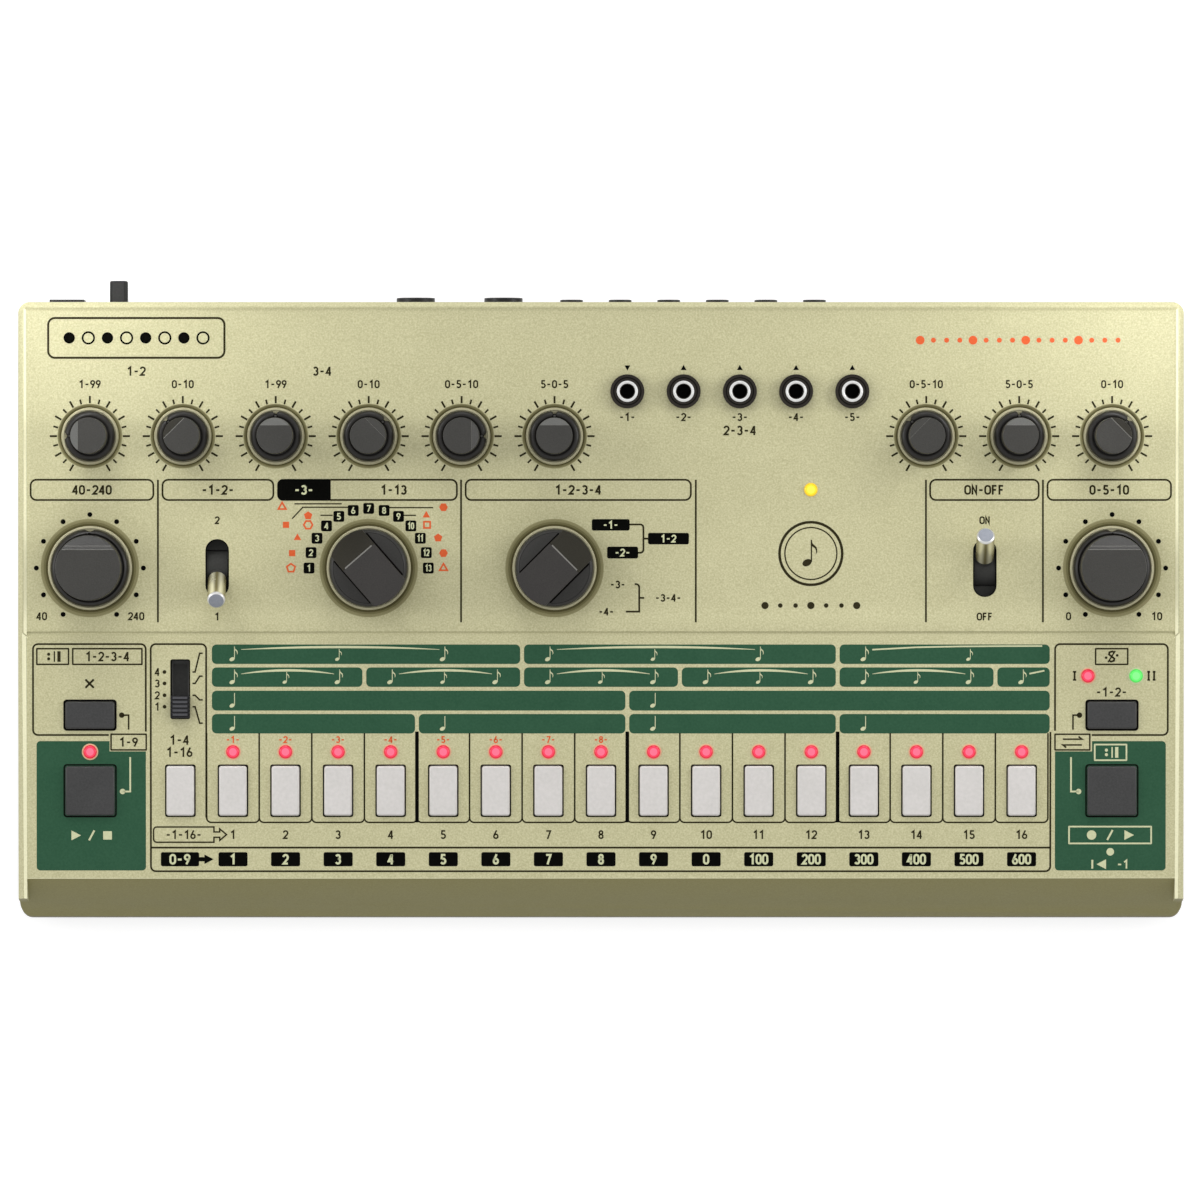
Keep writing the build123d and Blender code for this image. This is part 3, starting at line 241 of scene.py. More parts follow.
# painted reflections: gold metal with light and dark bands across it
LEVER_GOLD_REFLECTIONS = reflection_banded("lever_gold", (140, 132, 92), (240, 236, 205), LEVER_REFLECTION_BAND)
PLATED = moulded("plated_steel", (205, 205, 203), (220, 220, 218), 0.6, 0.3, metallic=0.6)
RUBBER = moulded("foot_rubber", (28, 28, 28), (38, 38, 38), 0.7, 0.85, 0.5)
BOARD = moulded("board_green", (20, 60, 36), (28, 76, 46), 1.2, 0.35, coat=0.4)
CASE_BLACK = moulded("switch_case", (30, 30, 32), (40, 40, 42), 0.6, 0.6, 0.2)
RIBBON = moulded("ribbon_grey", (140, 140, 145), (160, 160, 165), 1.27, 0.5)
SCREW_STEEL = moulded("screw_black", (40, 40, 42), (55, 55, 58), 0.5, 0.35, metallic=0.8)
INK_DARK = moulded("ink_dark", (42, 38, 22), (50, 46, 28), 0.5, 0.6, gloss=0.05)
INK_BLACK = moulded("ink_black", (9, 9, 8), (15, 15, 13), 0.5, 0.5, gloss=0)
INK_ORANGE = moulded("ink_orange", (210, 90, 48), (219, 99, 56), 0.5, 0.6, gloss=0.1)
INK_CREAM = moulded("ink_cream", (196, 199, 160), (206, 209, 170), 0.5, 0.6, gloss=0.1)
INK_GREEN = moulded("ink_green", (41, 79, 57), (49, 87, 64), 0.6, 0.5, 0.2, gloss=0.1)
# painted lamp glow: the pale ring round each red lamp, tinted pink by the lamp
INK_LAMP_GLOW = moulded("ink_glow", (216, 178, 142), (226, 188, 152), 0.5, 0.6, gloss=0.1)
LENS_REDS, LENS_YELLOWS, LENS_GREENS = [
    [lit(f"lens_{name}_{i}", tone) for i, tone in enumerate(tones)] for name, tones in (
        ("red", ((206, 30, 56), (232, 48, 80), (255, 100, 128))),
        ("yellow", ((226, 186, 22), (250, 214, 26), (255, 234, 70))),
        ("green", ((74, 208, 84), (92, 228, 100), (122, 240, 128))))]


# ---- building pieces ----
def placed(piece, material, body, replaces=()):
    """The piece with its materials, the body it rides on and the nodes that it stands for."""
    for one in material if isinstance(material, tuple) else (material,):
        piece.data.materials.append(one)
    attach(piece, body)
    if replaces:
        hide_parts(*replaces)


def as_object(name, data):
    piece = bpy.data.objects.new(name, data)
    bpy.context.scene.collection.objects.link(piece)
    return piece


SHARP = radians(32)
CREASE = radians(15)
SLOPING = (0.5, 0.96)  # how far a knob's sloping face points up
MERGED = 0.002  # points this close become one


def cleaned(node):
    """A CAD node's mesh with its flat faces whole."""
    shape = bmesh.new()
    shape.from_mesh(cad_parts[node].data)
    bmesh.ops.remove_doubles(shape, verts=shape.verts, dist=MERGED * MM)
    bmesh.ops.dissolve_limit(shape, angle_limit=radians(1), verts=shape.verts, edges=shape.edges)
    return shape


def shaped(shape, mesh, name, sharp=SHARP):
    """An object of a shape whose edges over an angle are sharp."""
    for edge in shape.edges:
        edge.smooth = edge.calc_face_angle(0) < sharp
    shape.to_mesh(mesh)
    shape.free()
    return as_object(name, mesh)


def softened(node, width, material, body="housing", steps=2, cut=None):
    """A copy of a CAD node with rounded edges, which stands for the node.

    With cut, only what lies that high over the upper deck is kept, shallow edges are rounded too,
    and the second of two materials, a tone of painted light and shade, goes on what slopes.
    """
    shape, sharp = cleaned(node), SHARP if cut is None else CREASE
    up = UPPER.col[2].to_3d().normalized()
    if cut is not None:
        everything = [*shape.verts, *shape.edges, *shape.faces]
        bmesh.ops.bisect_plane(shape, geom=everything, plane_co=UPPER @ Vector((0, 0, cut)), plane_no=up,
                               clear_inner=True)
    for face in shape.faces:
        face.smooth = True
        face.material_index = int(cut is not None and SLOPING[0] < face.normal.dot(up) < SLOPING[1])
    piece = shaped(shape, bpy.data.meshes.new(f"{node}_shape"), f"{node}_look", sharp)
    bevel = piece.modifiers.new("edges", "BEVEL")
    bevel.width = width * MM
    bevel.segments = steps
    bevel.angle_limit = sharp
    bevel.use_clamp_overlap = bevel.harden_normals = True
    graph = bpy.context.evaluated_depsgraph_get()
    mesh = bpy.data.meshes.new_from_object(piece.evaluated_get(graph))
    piece.modifiers.clear()
    piece.data = mesh
    placed(piece, material, body, (node,))


def turned(profile, sides=48, notch=None):
    """(vertices, faces) of a surface of revolution about z through (radius, z) points.

    A notch is the greatest radius left in the direction of +y.
    """
    points, faces, rings = [], [], []
    for radius, z in profile:
        if radius == 0:
            points.append((0, 0, z))
            rings.append([len(points) - 1] * sides)
            continue
        reach = [radius] * sides
        if notch:
            for aside, share in ((0, 1), (1, 0.5), (-1, 0.5)):
                reach[sides // 4 + aside] = min(radius, radius + (notch - radius) * share)
        rings.append(list(range(len(points), len(points) + sides)))
        points += [(r * cos(2 * pi * i / sides), r * sin(2 * pi * i / sides), z) for i, r in enumerate(reach)]
    for low, high in zip(rings, rings[1:]):
        for i in range(sides):
            j = (i + 1) % sides
            corners = dict.fromkeys((low[i], low[j], high[j], high[i]))
            if len(corners) > 2:
                faces.append(tuple(corners))
    return points, faces


def walls(count, rows=2):
    """Faces between closed rows of points, each of the same count, which follow one another."""
    return [(k + i, k + (i + 1) % count, k + (i + 1) % count + count, k + i + count)
            for k in range(0, (rows - 1) * count, count) for i in range(count)]


def cuboid(left, right, front, rear, low, high):
    """(vertices, faces) of a box."""
    base = ((left, front), (right, front), (right, rear), (left, rear))
    points = [(x, y, z) for z in (low, high) for x, y in base]
    return points, [(3, 2, 1, 0), (4, 5, 6, 7), *walls(4)]


def solid(name, plane, shapes, material, body="housing", replaces=(), smooth=True, sharp=SHARP):
    """One object from shapes on a plane: (vertices, faces), or with x, y and the number of a material."""
    points, faces, marks = [], [], []
    for verts, quads, *rest in shapes:
        x, y, mark = rest or (0, 0, 0)
        start = len(points)
        points += [plane @ Vector((vx + x, vy + y, vz)) for vx, vy, vz in verts]
        faces += [tuple(start + i for i in quad) for quad in quads]
        marks += [mark] * len(quads)
    mesh = bpy.data.meshes.new(name)
    mesh.from_pydata(points, [], faces)
    mesh.polygons.foreach_set("material_index", marks)
    mesh.polygons.foreach_set("use_smooth", [smooth] * len(faces))
    shape = bmesh.new()
    shape.from_mesh(mesh)
    bmesh.ops.recalc_face_normals(shape, faces=shape.faces)
    placed(shaped(shape, mesh, name, sharp), material, body, replaces)


# ---- print ----
LINE, FINE = 0.48, 0.42
LABEL = 0.05, FINE  # the corner and line of a small box
INK_LIFT = 0.02
SHEETS = {  # each sheet's ink and height
    "green": (INK_GREEN, INK_LIFT * 0.5), "lines": (INK_DARK, INK_LIFT), "orange": (INK_ORANGE, INK_LIFT),
    "glow": (INK_LAMP_GLOW, INK_LIFT), "blocks": (INK_BLACK, INK_LIFT * 1.5), "cream": (INK_CREAM, INK_LIFT * 2.5),
}
NOTE_LEAN = radians(25)
NOTE_FLAG = ((0, 0), (0.25, -0.75), (1.05, -1.5), (1.2, -2.4), (0.85, -3.0), (0.95, -2.3), (0.75, -1.75),
             (0, -1.2))


def arc(x, y, radius, first, last, steps=6):
    """Points on a circle between two angles in degrees, counter-clockwise from +x."""
    angles = [radians(first + (last - first) * i / steps) for i in range(steps + 1)]
    return [(x + radius * cos(a), y + radius * sin(a)) for a in angles]


def circle(x, y, radius, sides, turn=0.0):
    """The corners of an even figure, counter-clockwise from a turn in radians."""
    angles = [turn + 2 * pi * i / sides for i in range(sides)]
    return [(x + radius * cos(a), y + radius * sin(a)) for a in angles]


def rounded(left, top, right, bottom, radius, square=()):
    """A box's outline; the corners named in square (tl, tr, br, bl) aren't rounded."""
    corners = (("tr", right - radius, top - radius, 0), ("tl", left + radius, top - radius, 90),
               ("bl", left + radius, bottom + radius, 180), ("br", right - radius, bottom + radius, 270))
    points = []
    for name, x, y, angle in corners:
        if name in square:
            points.append((x + radius * (1 if "r" in name else -1), y + radius * (1 if "t" in name else -1)))
        else:
            points += arc(x, y, radius, angle, angle + 90)
    return points


class Print:
    """Flat ink on a deck, gathered into one mesh."""

    def __init__(self, name, plane, material, lift):
        self.name, self.plane, self.material, self.lift = name, plane, material, lift
        self.points, self.faces = [], []

    def fill(self, outline):
        start = len(self.points)
        self.points += outline
        self.faces.append(tuple(range(start, start + len(outline))))

    def stroke(self, points, width=LINE, closed=False):
        """A line of even width with mitred corners."""
        count = len(points)
        sides = []
        for i, (x, y) in enumerate(points):
            before = points[i - 1] if i or closed else points[i]
            after = points[(i + 1) % count] if i + 1 < count or closed else points[i]
            lead = [(x - before[0], y - before[1]), (after[0] - x, after[1] - y)]
            lead = [v for v in lead if hypot(*v) > 1e-9]
            ways = [(v[0] / hypot(*v), v[1] / hypot(*v)) for v in lead]
            sum_x, sum_y = sum(w[0] for w in ways), sum(w[1] for w in ways)
            length = hypot(sum_x, sum_y)
            normal = (-sum_y / length, sum_x / length)
            reach = width / 2 / max(0.3, length / len(ways))
            sides += [(x + normal[0] * reach * way, y + normal[1] * reach * way) for way in (1, -1)]
        start = len(self.points)
        self.points += sides
        for i in range(count if closed else count - 1):
            a, b = start + 2 * i, start + 2 * ((i + 1) % count)
            self.faces.append((a, a + 1, b + 1, b))

    def box(self, left, top, right, bottom, radius=1.3, width=LINE, square=()):
        self.stroke(rounded(left, top, right, bottom, radius, square), width, closed=True)

    def plate(self, left, top, right, bottom, radius=1.0, square=()):
        self.fill(rounded(left, top, right, bottom, radius, square))

    def disc(self, x, y, radius, sides=20):
        self.fill(circle(x, y, radius, sides))

    def ring(self, x, y, radius, width=LINE, sides=48):
        self.stroke(circle(x, y, radius, sides), width, closed=True)

    def words(self, text, x, y, height, weight=0.17, stretch=1.0):
        """Figures of even strokes, centred on a place."""
        wide = height * stretch
        step = 0.7 * height * stretch
        start = x - step * len(text) / 2 + 0.05 * height * stretch
        for i, figure in enumerate(text):
            for line in GLYPHS[figure]:
                points = [(start + i * step + a * wide, y + (b - 0.5) * height) for a, b in line]
                self.stroke(points, weight * height)

    def note(self, x, y, size, flag=True):
        """A note: a slanted head, a stem and, if asked, a flag; x and y are the head's centre."""
        across, along = cos(NOTE_LEAN), sin(NOTE_LEAN)
        head = [(a, 0.68 * b) for a, b in circle(0, 0, 1, 16)]
        head = [(a * across - b * along, a * along + b * across) for a, b in head]
        self.fill([(x + size * a, y + size * b) for a, b in head])
        stem, top = x + 0.88 * size, y + 4.6 * size
        self.stroke([(stem, y + 0.2 * size), (stem, top)], 0.28 * size)
        if flag:
            self.fill([(stem + a * size, top + b * size) for a, b in NOTE_FLAG])

    def slur(self, start, end, y, rise, thick=0.5):
        """A crescent from one note to the next."""
        steps = [i / 24 for i in range(25)]
        places = [(start + (end - start) * t, 4 * t * (1 - t)) for t in steps]
        first, last = len(self.points), len(self.points) + 2 * len(steps) - 1
        self.points += [(x, y + rise * bow) for x, bow in places]
        self.points += [(x, y + (rise - thick) * bow - 0.12) for x, bow in reversed(places)]
        self.faces += [(first + i, first + i + 1, last - 1 - i, last - i) for i in range(len(steps) - 1)]

    def ticks(self, x, y, angles, near, far, width=LINE):
        for angle in angles:
            across, along = sin(radians(angle)), cos(radians(angle))
            self.stroke([(x + near * across, y + near * along), (x + far * across, y + far * along)], width)

    def make(self):
        points = [(x, y, self.lift) for x, y in self.points]
        solid(self.name, self.plane, [(points, self.faces)], self.material, smooth=False)


BOWL = [*arc(0.3, 0.69, 0.23, 0, 180), *arc(0.3, 0.31, 0.23, 180, 360), (0.53, 0.69)]
GLYPHS = {  # centre lines of plain figures, one high
    "0": [BOWL], "O": [[(1.15 * x - 0.05, y) for x, y in BOWL]],
    "1": [[(0.09, 0.72), (0.36, 0.93), (0.36, 0)]],
    "2": [[*arc(0.3, 0.68, 0.24, 170, -38, 8), (0.09, 0.08), (0.54, 0.08)]],
    "3": [arc(0.28, 0.7, 0.21, 155, -85, 8), arc(0.28, 0.31, 0.23, 85, -155, 8)],
    "4": [[(0.41, 0), (0.41, 0.98)], [(0.39, 0.93), (0.07, 0.3), (0.56, 0.3)]],
    "5": [[(0.52, 0.92), (0.15, 0.92), (0.12, 0.5)], arc(0.28, 0.32, 0.24, 125, -150, 9)],
    "6": [arc(0.3, 0.31, 0.23, 0, 360, 14), [(0.09, 0.4), (0.38, 0.99)]],
    "7": [[(0.05, 0.92), (0.53, 0.92), (0.2, 0)]],
    "8": [arc(0.3, 0.73, 0.19, 0, 360, 14), arc(0.3, 0.3, 0.22, 0, 360, 14)],
    "9": [arc(0.3, 0.69, 0.23, 0, 360, 14), [(0.51, 0.6), (0.22, 0.01)]],
    "-": [[(0.1, 0.47), (0.46, 0.47)]],
    "N": [[(0.1, 0), (0.1, 0.9), (0.5, 0.1), (0.5, 1)]],
    "F": [[(0.12, 0), (0.12, 0.92), (0.52, 0.92)], [(0.12, 0.5), (0.46, 0.5)]],
    "I": [[(0.3, 0), (0.3, 1)], [(0.12, 0.94), (0.48, 0.94)], [(0.12, 0.06), (0.48, 0.06)]],
}


def sheets(deck, plane, *kinds):
    """A deck's sheets of print, one for each ink."""
    return [Print(f"print_{deck}_{kind}", plane, *SHEETS[kind]) for kind in kinds]


HEAD_TOP, HEAD_LOW = -46.5, -51.8
HEADINGS = ((-149.2, -117.1, "40-240"), (-114.7, -85.7, "-1-2-"), (-35.4, 23.5, "1-2-3-4"),
            (86.1, 114.5, "ON-OFF"), (116.8, 149.1, "0-5-10"))
DIVIDERS = (-115.9, -36.6, 24.8, 85.0, 115.6)
DIVIDER_END = -83.8
NAME_PLATE = (-144.6, -4.2, -98.5, -14.6)
NAME_ROW, DOT_ROW = -9.4, -10.0
DIAL_DOTS = 14.0  # radius of the dots round a large dial
KNOB_SCALES = ("1-99", "0-10", "1-99", "0-10", "0-5-10", "5-0-5", "0-5-10", "5-0-5", "0-10")


def upper_print():
    """Headings, scales and marks of the upper deck. Figures and plain signs stand where the words were."""
    made = sheets("upper", UPPER, "lines", "blocks", "orange", "cream")
    ink, block, accent, light = made

    middle = (HEAD_TOP + HEAD_LOW) / 2
    for left, right, figures in HEADINGS:
        ink.box(left, HEAD_TOP, right, HEAD_LOW, 1.5)
        ink.words(figures, (left + right) / 2, middle, 2.5, 0.2)
    block.plate(-84.7, HEAD_TOP + 0.2, -70.7, HEAD_LOW - 0.2, 1.5, square=("tr", "br"))
    ink.stroke([(-70.7, HEAD_TOP), *arc(-39.2, HEAD_TOP - 1.5, 1.5, 90, 0),
                *arc(-39.2, HEAD_LOW + 1.5, 1.5, 360, 270), (-70.7, HEAD_LOW)])
    light.words("-3-", -77.7, middle, 2.5, 0.2)
    ink.words("1-13", -54.2, middle, 2.5, 0.2)
    for x in DIVIDERS:
        ink.stroke([(x, HEAD_TOP), (x, DIVIDER_END)])

    ink.box(*NAME_PLATE, 1.75, 0.55)
    for i in range(8):
        x = -139.1 + 5.0 * i
        (block.disc if i % 2 == 0 else block.ring)(x, NAME_ROW, 1.5)
    for i in range(16):
        accent.disc(83.5 + 3.45 * i, DOT_ROW, 1.15 if i % 4 == 0 else 0.65)

    for x, figures in zip(SMALL_KNOBS, KNOB_SCALES):
        ink.ticks(x, KNOB_ROW, range(-150, 151, 30), 8.6, 10.5, 0.52)
        ink.ticks(x, KNOB_ROW, range(-135, 136, 30), 8.6, 9.9)
        ink.words(figures, x, -21.5, 2.1, 0.19)
    for first, figures in ((0, "1-2"), (2, "3-4")):
        ink.words(figures, (SMALL_KNOBS[first] + SMALL_KNOBS[first + 1]) / 2, -18.1, 2.4, 0.19)
    for i, x in enumerate(PANEL_JACKS):
        way = -1 if i == 0 else 1
        block.fill([(x - 0.75, -17.2 - 0.6 * way), (x + 0.75, -17.2 - 0.6 * way), (x, -17.2 + 0.75 * way)])
        ink.words(f"-{i + 1}-", x, -30.1, 2.1, 0.19)
    ink.words("2-3-4", PANEL_JACKS[2], -33.6, 2.5, 0.19)

    for x in (-OUTER_COLUMN, OUTER_COLUMN):
        for angle in range(-150, 151, 30):
            across, along = sin(radians(angle)), cos(radians(angle))
            block.disc(x + DIAL_DOTS * across, CONTROL_ROW + DIAL_DOTS * along, 0.65)
    for figures, x in (("40", -146.3), ("240", -121.6), ("0", 122.3), ("10", 145.4)):
        ink.words(figures, x, -82.2, 2.1, 0.19)
    for x, high, low in ((-TOGGLE_X, "2", "1"), (TOGGLE_X, "ON", "OFF")):
        ink.words(high, x, -57.1, 2.0, 0.2)
        ink.words(low, x, -82.3, 2.0, 0.2)

    instrument_marks(ink, block, accent, light)
    mode_marks(ink, block, light)
    emblem(ink)
    for sheet in made:
        sheet.make()


def instrument_marks(ink, block, accent, light):
    """Thirteen numbered places round the selector, with a plain orange sign for each voice."""
    radius, half = 15.6, 1.42
    for i in range(13):
        angle = radians(-90 + 15 * i)
        x, y = INSTRUMENT_X + radius * sin(angle), CONTROL_ROW + radius * cos(angle)
        block.plate(x - half, y + half, x + half, y - half, 0.45)
        light.words(str(i + 1), x, y, 1.75, 0.19, 0.7 if i > 8 else 1)
    for line in (((-80.2, -52.8), (-67.8, -52.8)), ((-80.8, -56.7), (-78.0, -53.7), (-66.2, -53.7)),
                 ((-73.4, -55.8), (-70.2, -55.8)), ((-55.5, -53.8), (-43.9, -53.8)),
                 ((-51.6, -55.8), (-48.4, -55.8))):
        ink.stroke(line, 0.34)
    signs = ((-83.4, -53.6), (-82.4, -58.3), (-76.6, -55.9), (-76.6, -58.3), (-79.4, -61.7), (-80.8, -65.7),
             (-81.1, -69.6), (-41.2, -53.7), (-45.7, -55.8), (-45.5, -58.3), (-42.6, -61.7), (-41.2, -65.7),
             (-41.2, -69.6))
    for i, (x, y) in enumerate(signs):
        sides = 3 + i % 4
        points = circle(x, y, 1.15, sides, radians(90 + (180 / sides if i % 2 else 0)))
        if i % 3:
            accent.fill(points)
        else:
            accent.stroke(points, 0.45, closed=True)


def mode_marks(ink, block, light):
    """The four places of the mode selector: two on black plates, two in line, each pair in a bracket."""
    for left, top, right, low, figures in ((-2.4, -56.8, 7.5, -59.8, "-1-"), (1.6, -64.0, 9.7, -67.1, "-2-"),
                                           (12.3, -60.4, 23.0, -63.4, "1-2")):
        block.plate(left, top, right, low, 0.5)
        light.words(figures, (left + right) / 2, (top + low) / 2, 2.0, 0.2)
    ink.stroke([(7.5, -58.2), *arc(10.3, -59.0, 0.8, 90, 0, 4),
                *arc(10.3, -64.8, 0.8, 360, 270, 4), (9.7, -65.6)])
    ink.stroke([(11.1, -61.9), (12.3, -61.9)])
    ink.stroke([(8.8, -73.8), *arc(9.2, -74.6, 0.8, 90, 0, 4), (10.0, -81.0), (6.5, -81.0)])
    ink.stroke([(10.0, -77.4), (11.3, -77.4)])
    for figures, x, y in (("-3-", 4.4, -73.9), ("-4-", 1.4, -81.0), ("-3-4-", 17.6, -77.4)):
        ink.words(figures, x, y, 2.0, 0.2)


def emblem(ink):
    """A plain sign in the empty middle of the deck: a note in a drum's hoop, over a row of dots."""
    x, y = YELLOW_LAMP[0], -65.8
    ink.ring(x, y, 8.2, 0.7)
    ink.ring(x, y, 6.8, 0.36)
    ink.note(x - 1.0, y - 2.4, 1.3)
    for i in range(7):
        ink.disc(x - 12.0 + 4.0 * i, -79.4, 0.95 if i % 3 == 0 else 0.6)


BAR_LEFT, BAR_RIGHT = -101.8, 117.4
BAR_ROWS = ((-1.9, -7.0), (-7.9, -13.0), (-14.0, -19.2), (-20.1, -25.2))
BAR_EVERY = ((6, 12), (3, 6, 9, 12, 15), (8,), (4, 8, 12))  # steps after which a row's bars part
CELL_TOP, CELL_LOW = -25.1, -48.5
PANEL_TOP, PANEL_LOW = -1.8, -61.3
HALO = (1.95, 0.4, 32)  # radius, line and sides of the ring round a lamp; round the red lamps it is tinted by painted lamp glow
NUMBER_ROW, PLATE_ROW = -51.7, -58.15
PLATE_FIGURES = [str(n % 10) for n in range(1, 11)] + [str(100 * n) for n in range(1, 7)]


def lower_print():
    """The step grid and the two side panels of the lower deck."""
    made = sheets("lower", LOWER, "green", "lines", "blocks", "orange", "cream", "glow")
    green, ink, block, accent, light, glow = made

    half = KEY_PITCH / 2
    for (top, low), splits in zip(BAR_ROWS, BAR_EVERY):
        edges = [BAR_LEFT, *[(STEPS[n - 1] + half) for n in splits], BAR_RIGHT]
        for i, (left, right) in enumerate(zip(edges, edges[1:])):
            green.plate(left + (0.5 if i else 0), top, right - (0.5 if right < BAR_RIGHT else 0), low, 1.2)
    bar_notes(light)

    ink.stroke([(-103.3, CELL_LOW + 1.3), *arc(-104.6, PANEL_TOP - 1.3, 1.3, 0, 90),
                *arc(-116.5, PANEL_TOP - 1.3, 1.3, 90, 180), *arc(-116.5, PANEL_LOW + 1.3, 1.3, 180, 270),
                *arc(116.3, PANEL_LOW + 1.3, 1.3, 270, 360), (117.6, CELL_TOP + 0.3)])
    ink.stroke([(-117.8, -55.1), (117.6, -55.1)])
    for i, x in enumerate(STEPS):
        left, right = x - half, x + half
        ink.stroke([(left, CELL_TOP), *arc(left + 1.2, CELL_LOW + 1.2, 1.2, 180, 270),
                    *arc(right - 1.2, CELL_LOW + 1.2, 1.2, 270, 360), (right, CELL_TOP)], FINE)
        ink.words(str(i + 1), x, NUMBER_ROW, 2.3, 0.18)
        block.plate(x - 3.8, -56.3, x + 3.8, -60.0, 0.5)
        if i < 8:
            accent.words(f"-{i + 1}-", x, -26.8, 1.8, 0.2)
        light.words(PLATE_FIGURES[i], x, PLATE_ROW, 2.7, 0.2, 0.9)
    for n in (4, 8, 12):
        block.stroke([(STEPS[n - 1] + half, CELL_TOP + 0.4), (STEPS[n - 1] + half, CELL_LOW)], 0.95)
    # rings round the red lamps, tinted by painted lamp glow
    for x, y in RED_LAMPS:
        glow.ring(x, y, *HALO)
    light.ring(*STATUS_LAMPS[1], *HALO)

    ink.stroke([*arc(-116.3, -50.5, 0.8, 90, 180, 3), *arc(-116.3, -52.9, 0.8, 180, 270, 3),
                (-101.3, -53.7), (-101.3, -52.4), (-99.8, -52.4), (-99.8, -53.2), (-98.0, -51.7),
                (-99.8, -50.2), (-99.8, -51.0), (-101.3, -51.0), (-101.3, -49.7)], 0.4, closed=True)
    ink.words("-1-16-", -109.2, NUMBER_ROW, 2.3, 0.18)
    block.plate(-115.2, -56.3, -105.2, -60.0, 0.5)
    block.fill([(-105.2, -57.6), (-103.8, -57.6), (-103.8, -56.9), (-101.4, -58.15), (-103.8, -59.4),
                (-103.8, -58.7), (-105.2, -58.7)])
    light.words("0-9", -110.2, PLATE_ROW, 2.7, 0.2)

    slider_marks(ink)
    left_panel(ink, green, light)
    right_panel(ink, green, light)
    for sheet in made:
        sheet.make()


def bar_notes(light):
    """Notes on the green bars: eighths in threes under slurs, then quarters."""
    heads = [(top + low) / 2 - 1.3 for top, low in BAR_ROWS]
    big, small = 0.72, 0.58

    def note(step, row, size=big, flag=True):
        light.note(STEPS[step] - 0.2, heads[row], size, flag)

    def slur(first, last, row, above, rise):
        light.slur(STEPS[first] + 2.2, STEPS[last] - 1.0, heads[row] + above, rise)

    for first in (0, 6, 12):
        note(first, 0)
        note(first + 2, 0, small)
        if first < 12:
            slur(first, first + 4, 0, 2.6, 0.9)
            note(first + 4, 0)
    rise = [(0.0, 0.0), (0.25, 0.62), (0.5, 0.85), (0.75, 0.93), (0.97, 0.95)]
    start, length = STEPS[12] + 2.2, BAR_RIGHT - STEPS[12] - 2.8
    light.stroke([(start + length * along, heads[0] + 2.5 + up) for along, up in rise], 0.4)
    for first in range(0, 16, 3):
        note(first, 1)
        if first + 1 < 16:
            note(first + 1, 1, small)
            note(first + 2, 1)
            slur(first, first + 2, 1, 2.2, 1.2)
    light.stroke([(STEPS[15] + 2.0, heads[1] + 2.2), (BAR_RIGHT - 1.4, heads[1] + 3.0)], FINE)
    for step, row in ((0, 2), (8, 2), (0, 3), (4, 3), (8, 3), (12, 3)):
        note(step, row, flag=False)


def slider_marks(ink):
    """The sliding cap's four places, each tied to its row of bars."""
    rows = (-9.1, -12.1, -15.2, -18.2)
    for row, to, figure in zip(rows, (-4.2, -10.2, -16.4, -22.5), "4321"):
        ink.disc(-114.2, row, 0.5)
        ink.words(figure, -116.1, row, 2.1, 0.18)
        ink.stroke([(-106.9, row), (-106.2, row), (-105.0, to), (-104.2, to)], FINE)
    ink.words("1-4", -110.3, -26.9, 2.5, 0.18)
    ink.words("1-16", -110.3, -30.1, 2.5, 0.18)


def left_panel(ink, green, light):
    """The frame and signs round the two buttons at the left."""
    ink.stroke([(-128.8, -25.6), *arc(-147.3, -24.3, 1.3, 270, 180), *arc(-147.3, -3.1, 1.3, 180, 90),
                *arc(-120.4, -3.1, 1.3, 90, 0), (-119.1, -24.7)])
    for left, right in ((-147.6, -139.3), (-138.2, -120.1)):
        ink.box(left, -3.0, right, -7.1, *LABEL)
    repeat_sign(ink, -143.4, -5.05)
    ink.words("1-2-3-4", -129.1, -5.05, 2.5, 0.18, 0.95)
    for way in (-1, 1):
        ink.stroke([(-134.9, -12.15 - 1.1 * way), (-132.7, -12.15 + 1.1 * way)], 0.55)
    connector(ink, (-125.4, -20.4), (-123.6, -24.2))
    ink.box(-128.2, -25.4, -119.0, -29.5, *LABEL)
    ink.words("1-9", -123.6, -27.45, 2.4, 0.18)
    green.fill([(-128.6, -27.2), *arc(-146.7, -28.2, 1.0, 90, 180), *arc(-146.7, -60.1, 1.0, 180, 270),
                *arc(-120.1, -60.1, 1.0, 270, 360), (-119.1, -29.9), (-128.6, -29.9)])
    connector(light, (-125.2, -40.4), (-123.2, -31.4))
    play_sign(light, -137.4, -51.9)
    light.stroke([(-134.0, -53.2), (-132.6, -50.6)], 0.5)
    light.plate(-130.3, -50.8, -128.0, -53.0, 0.15)


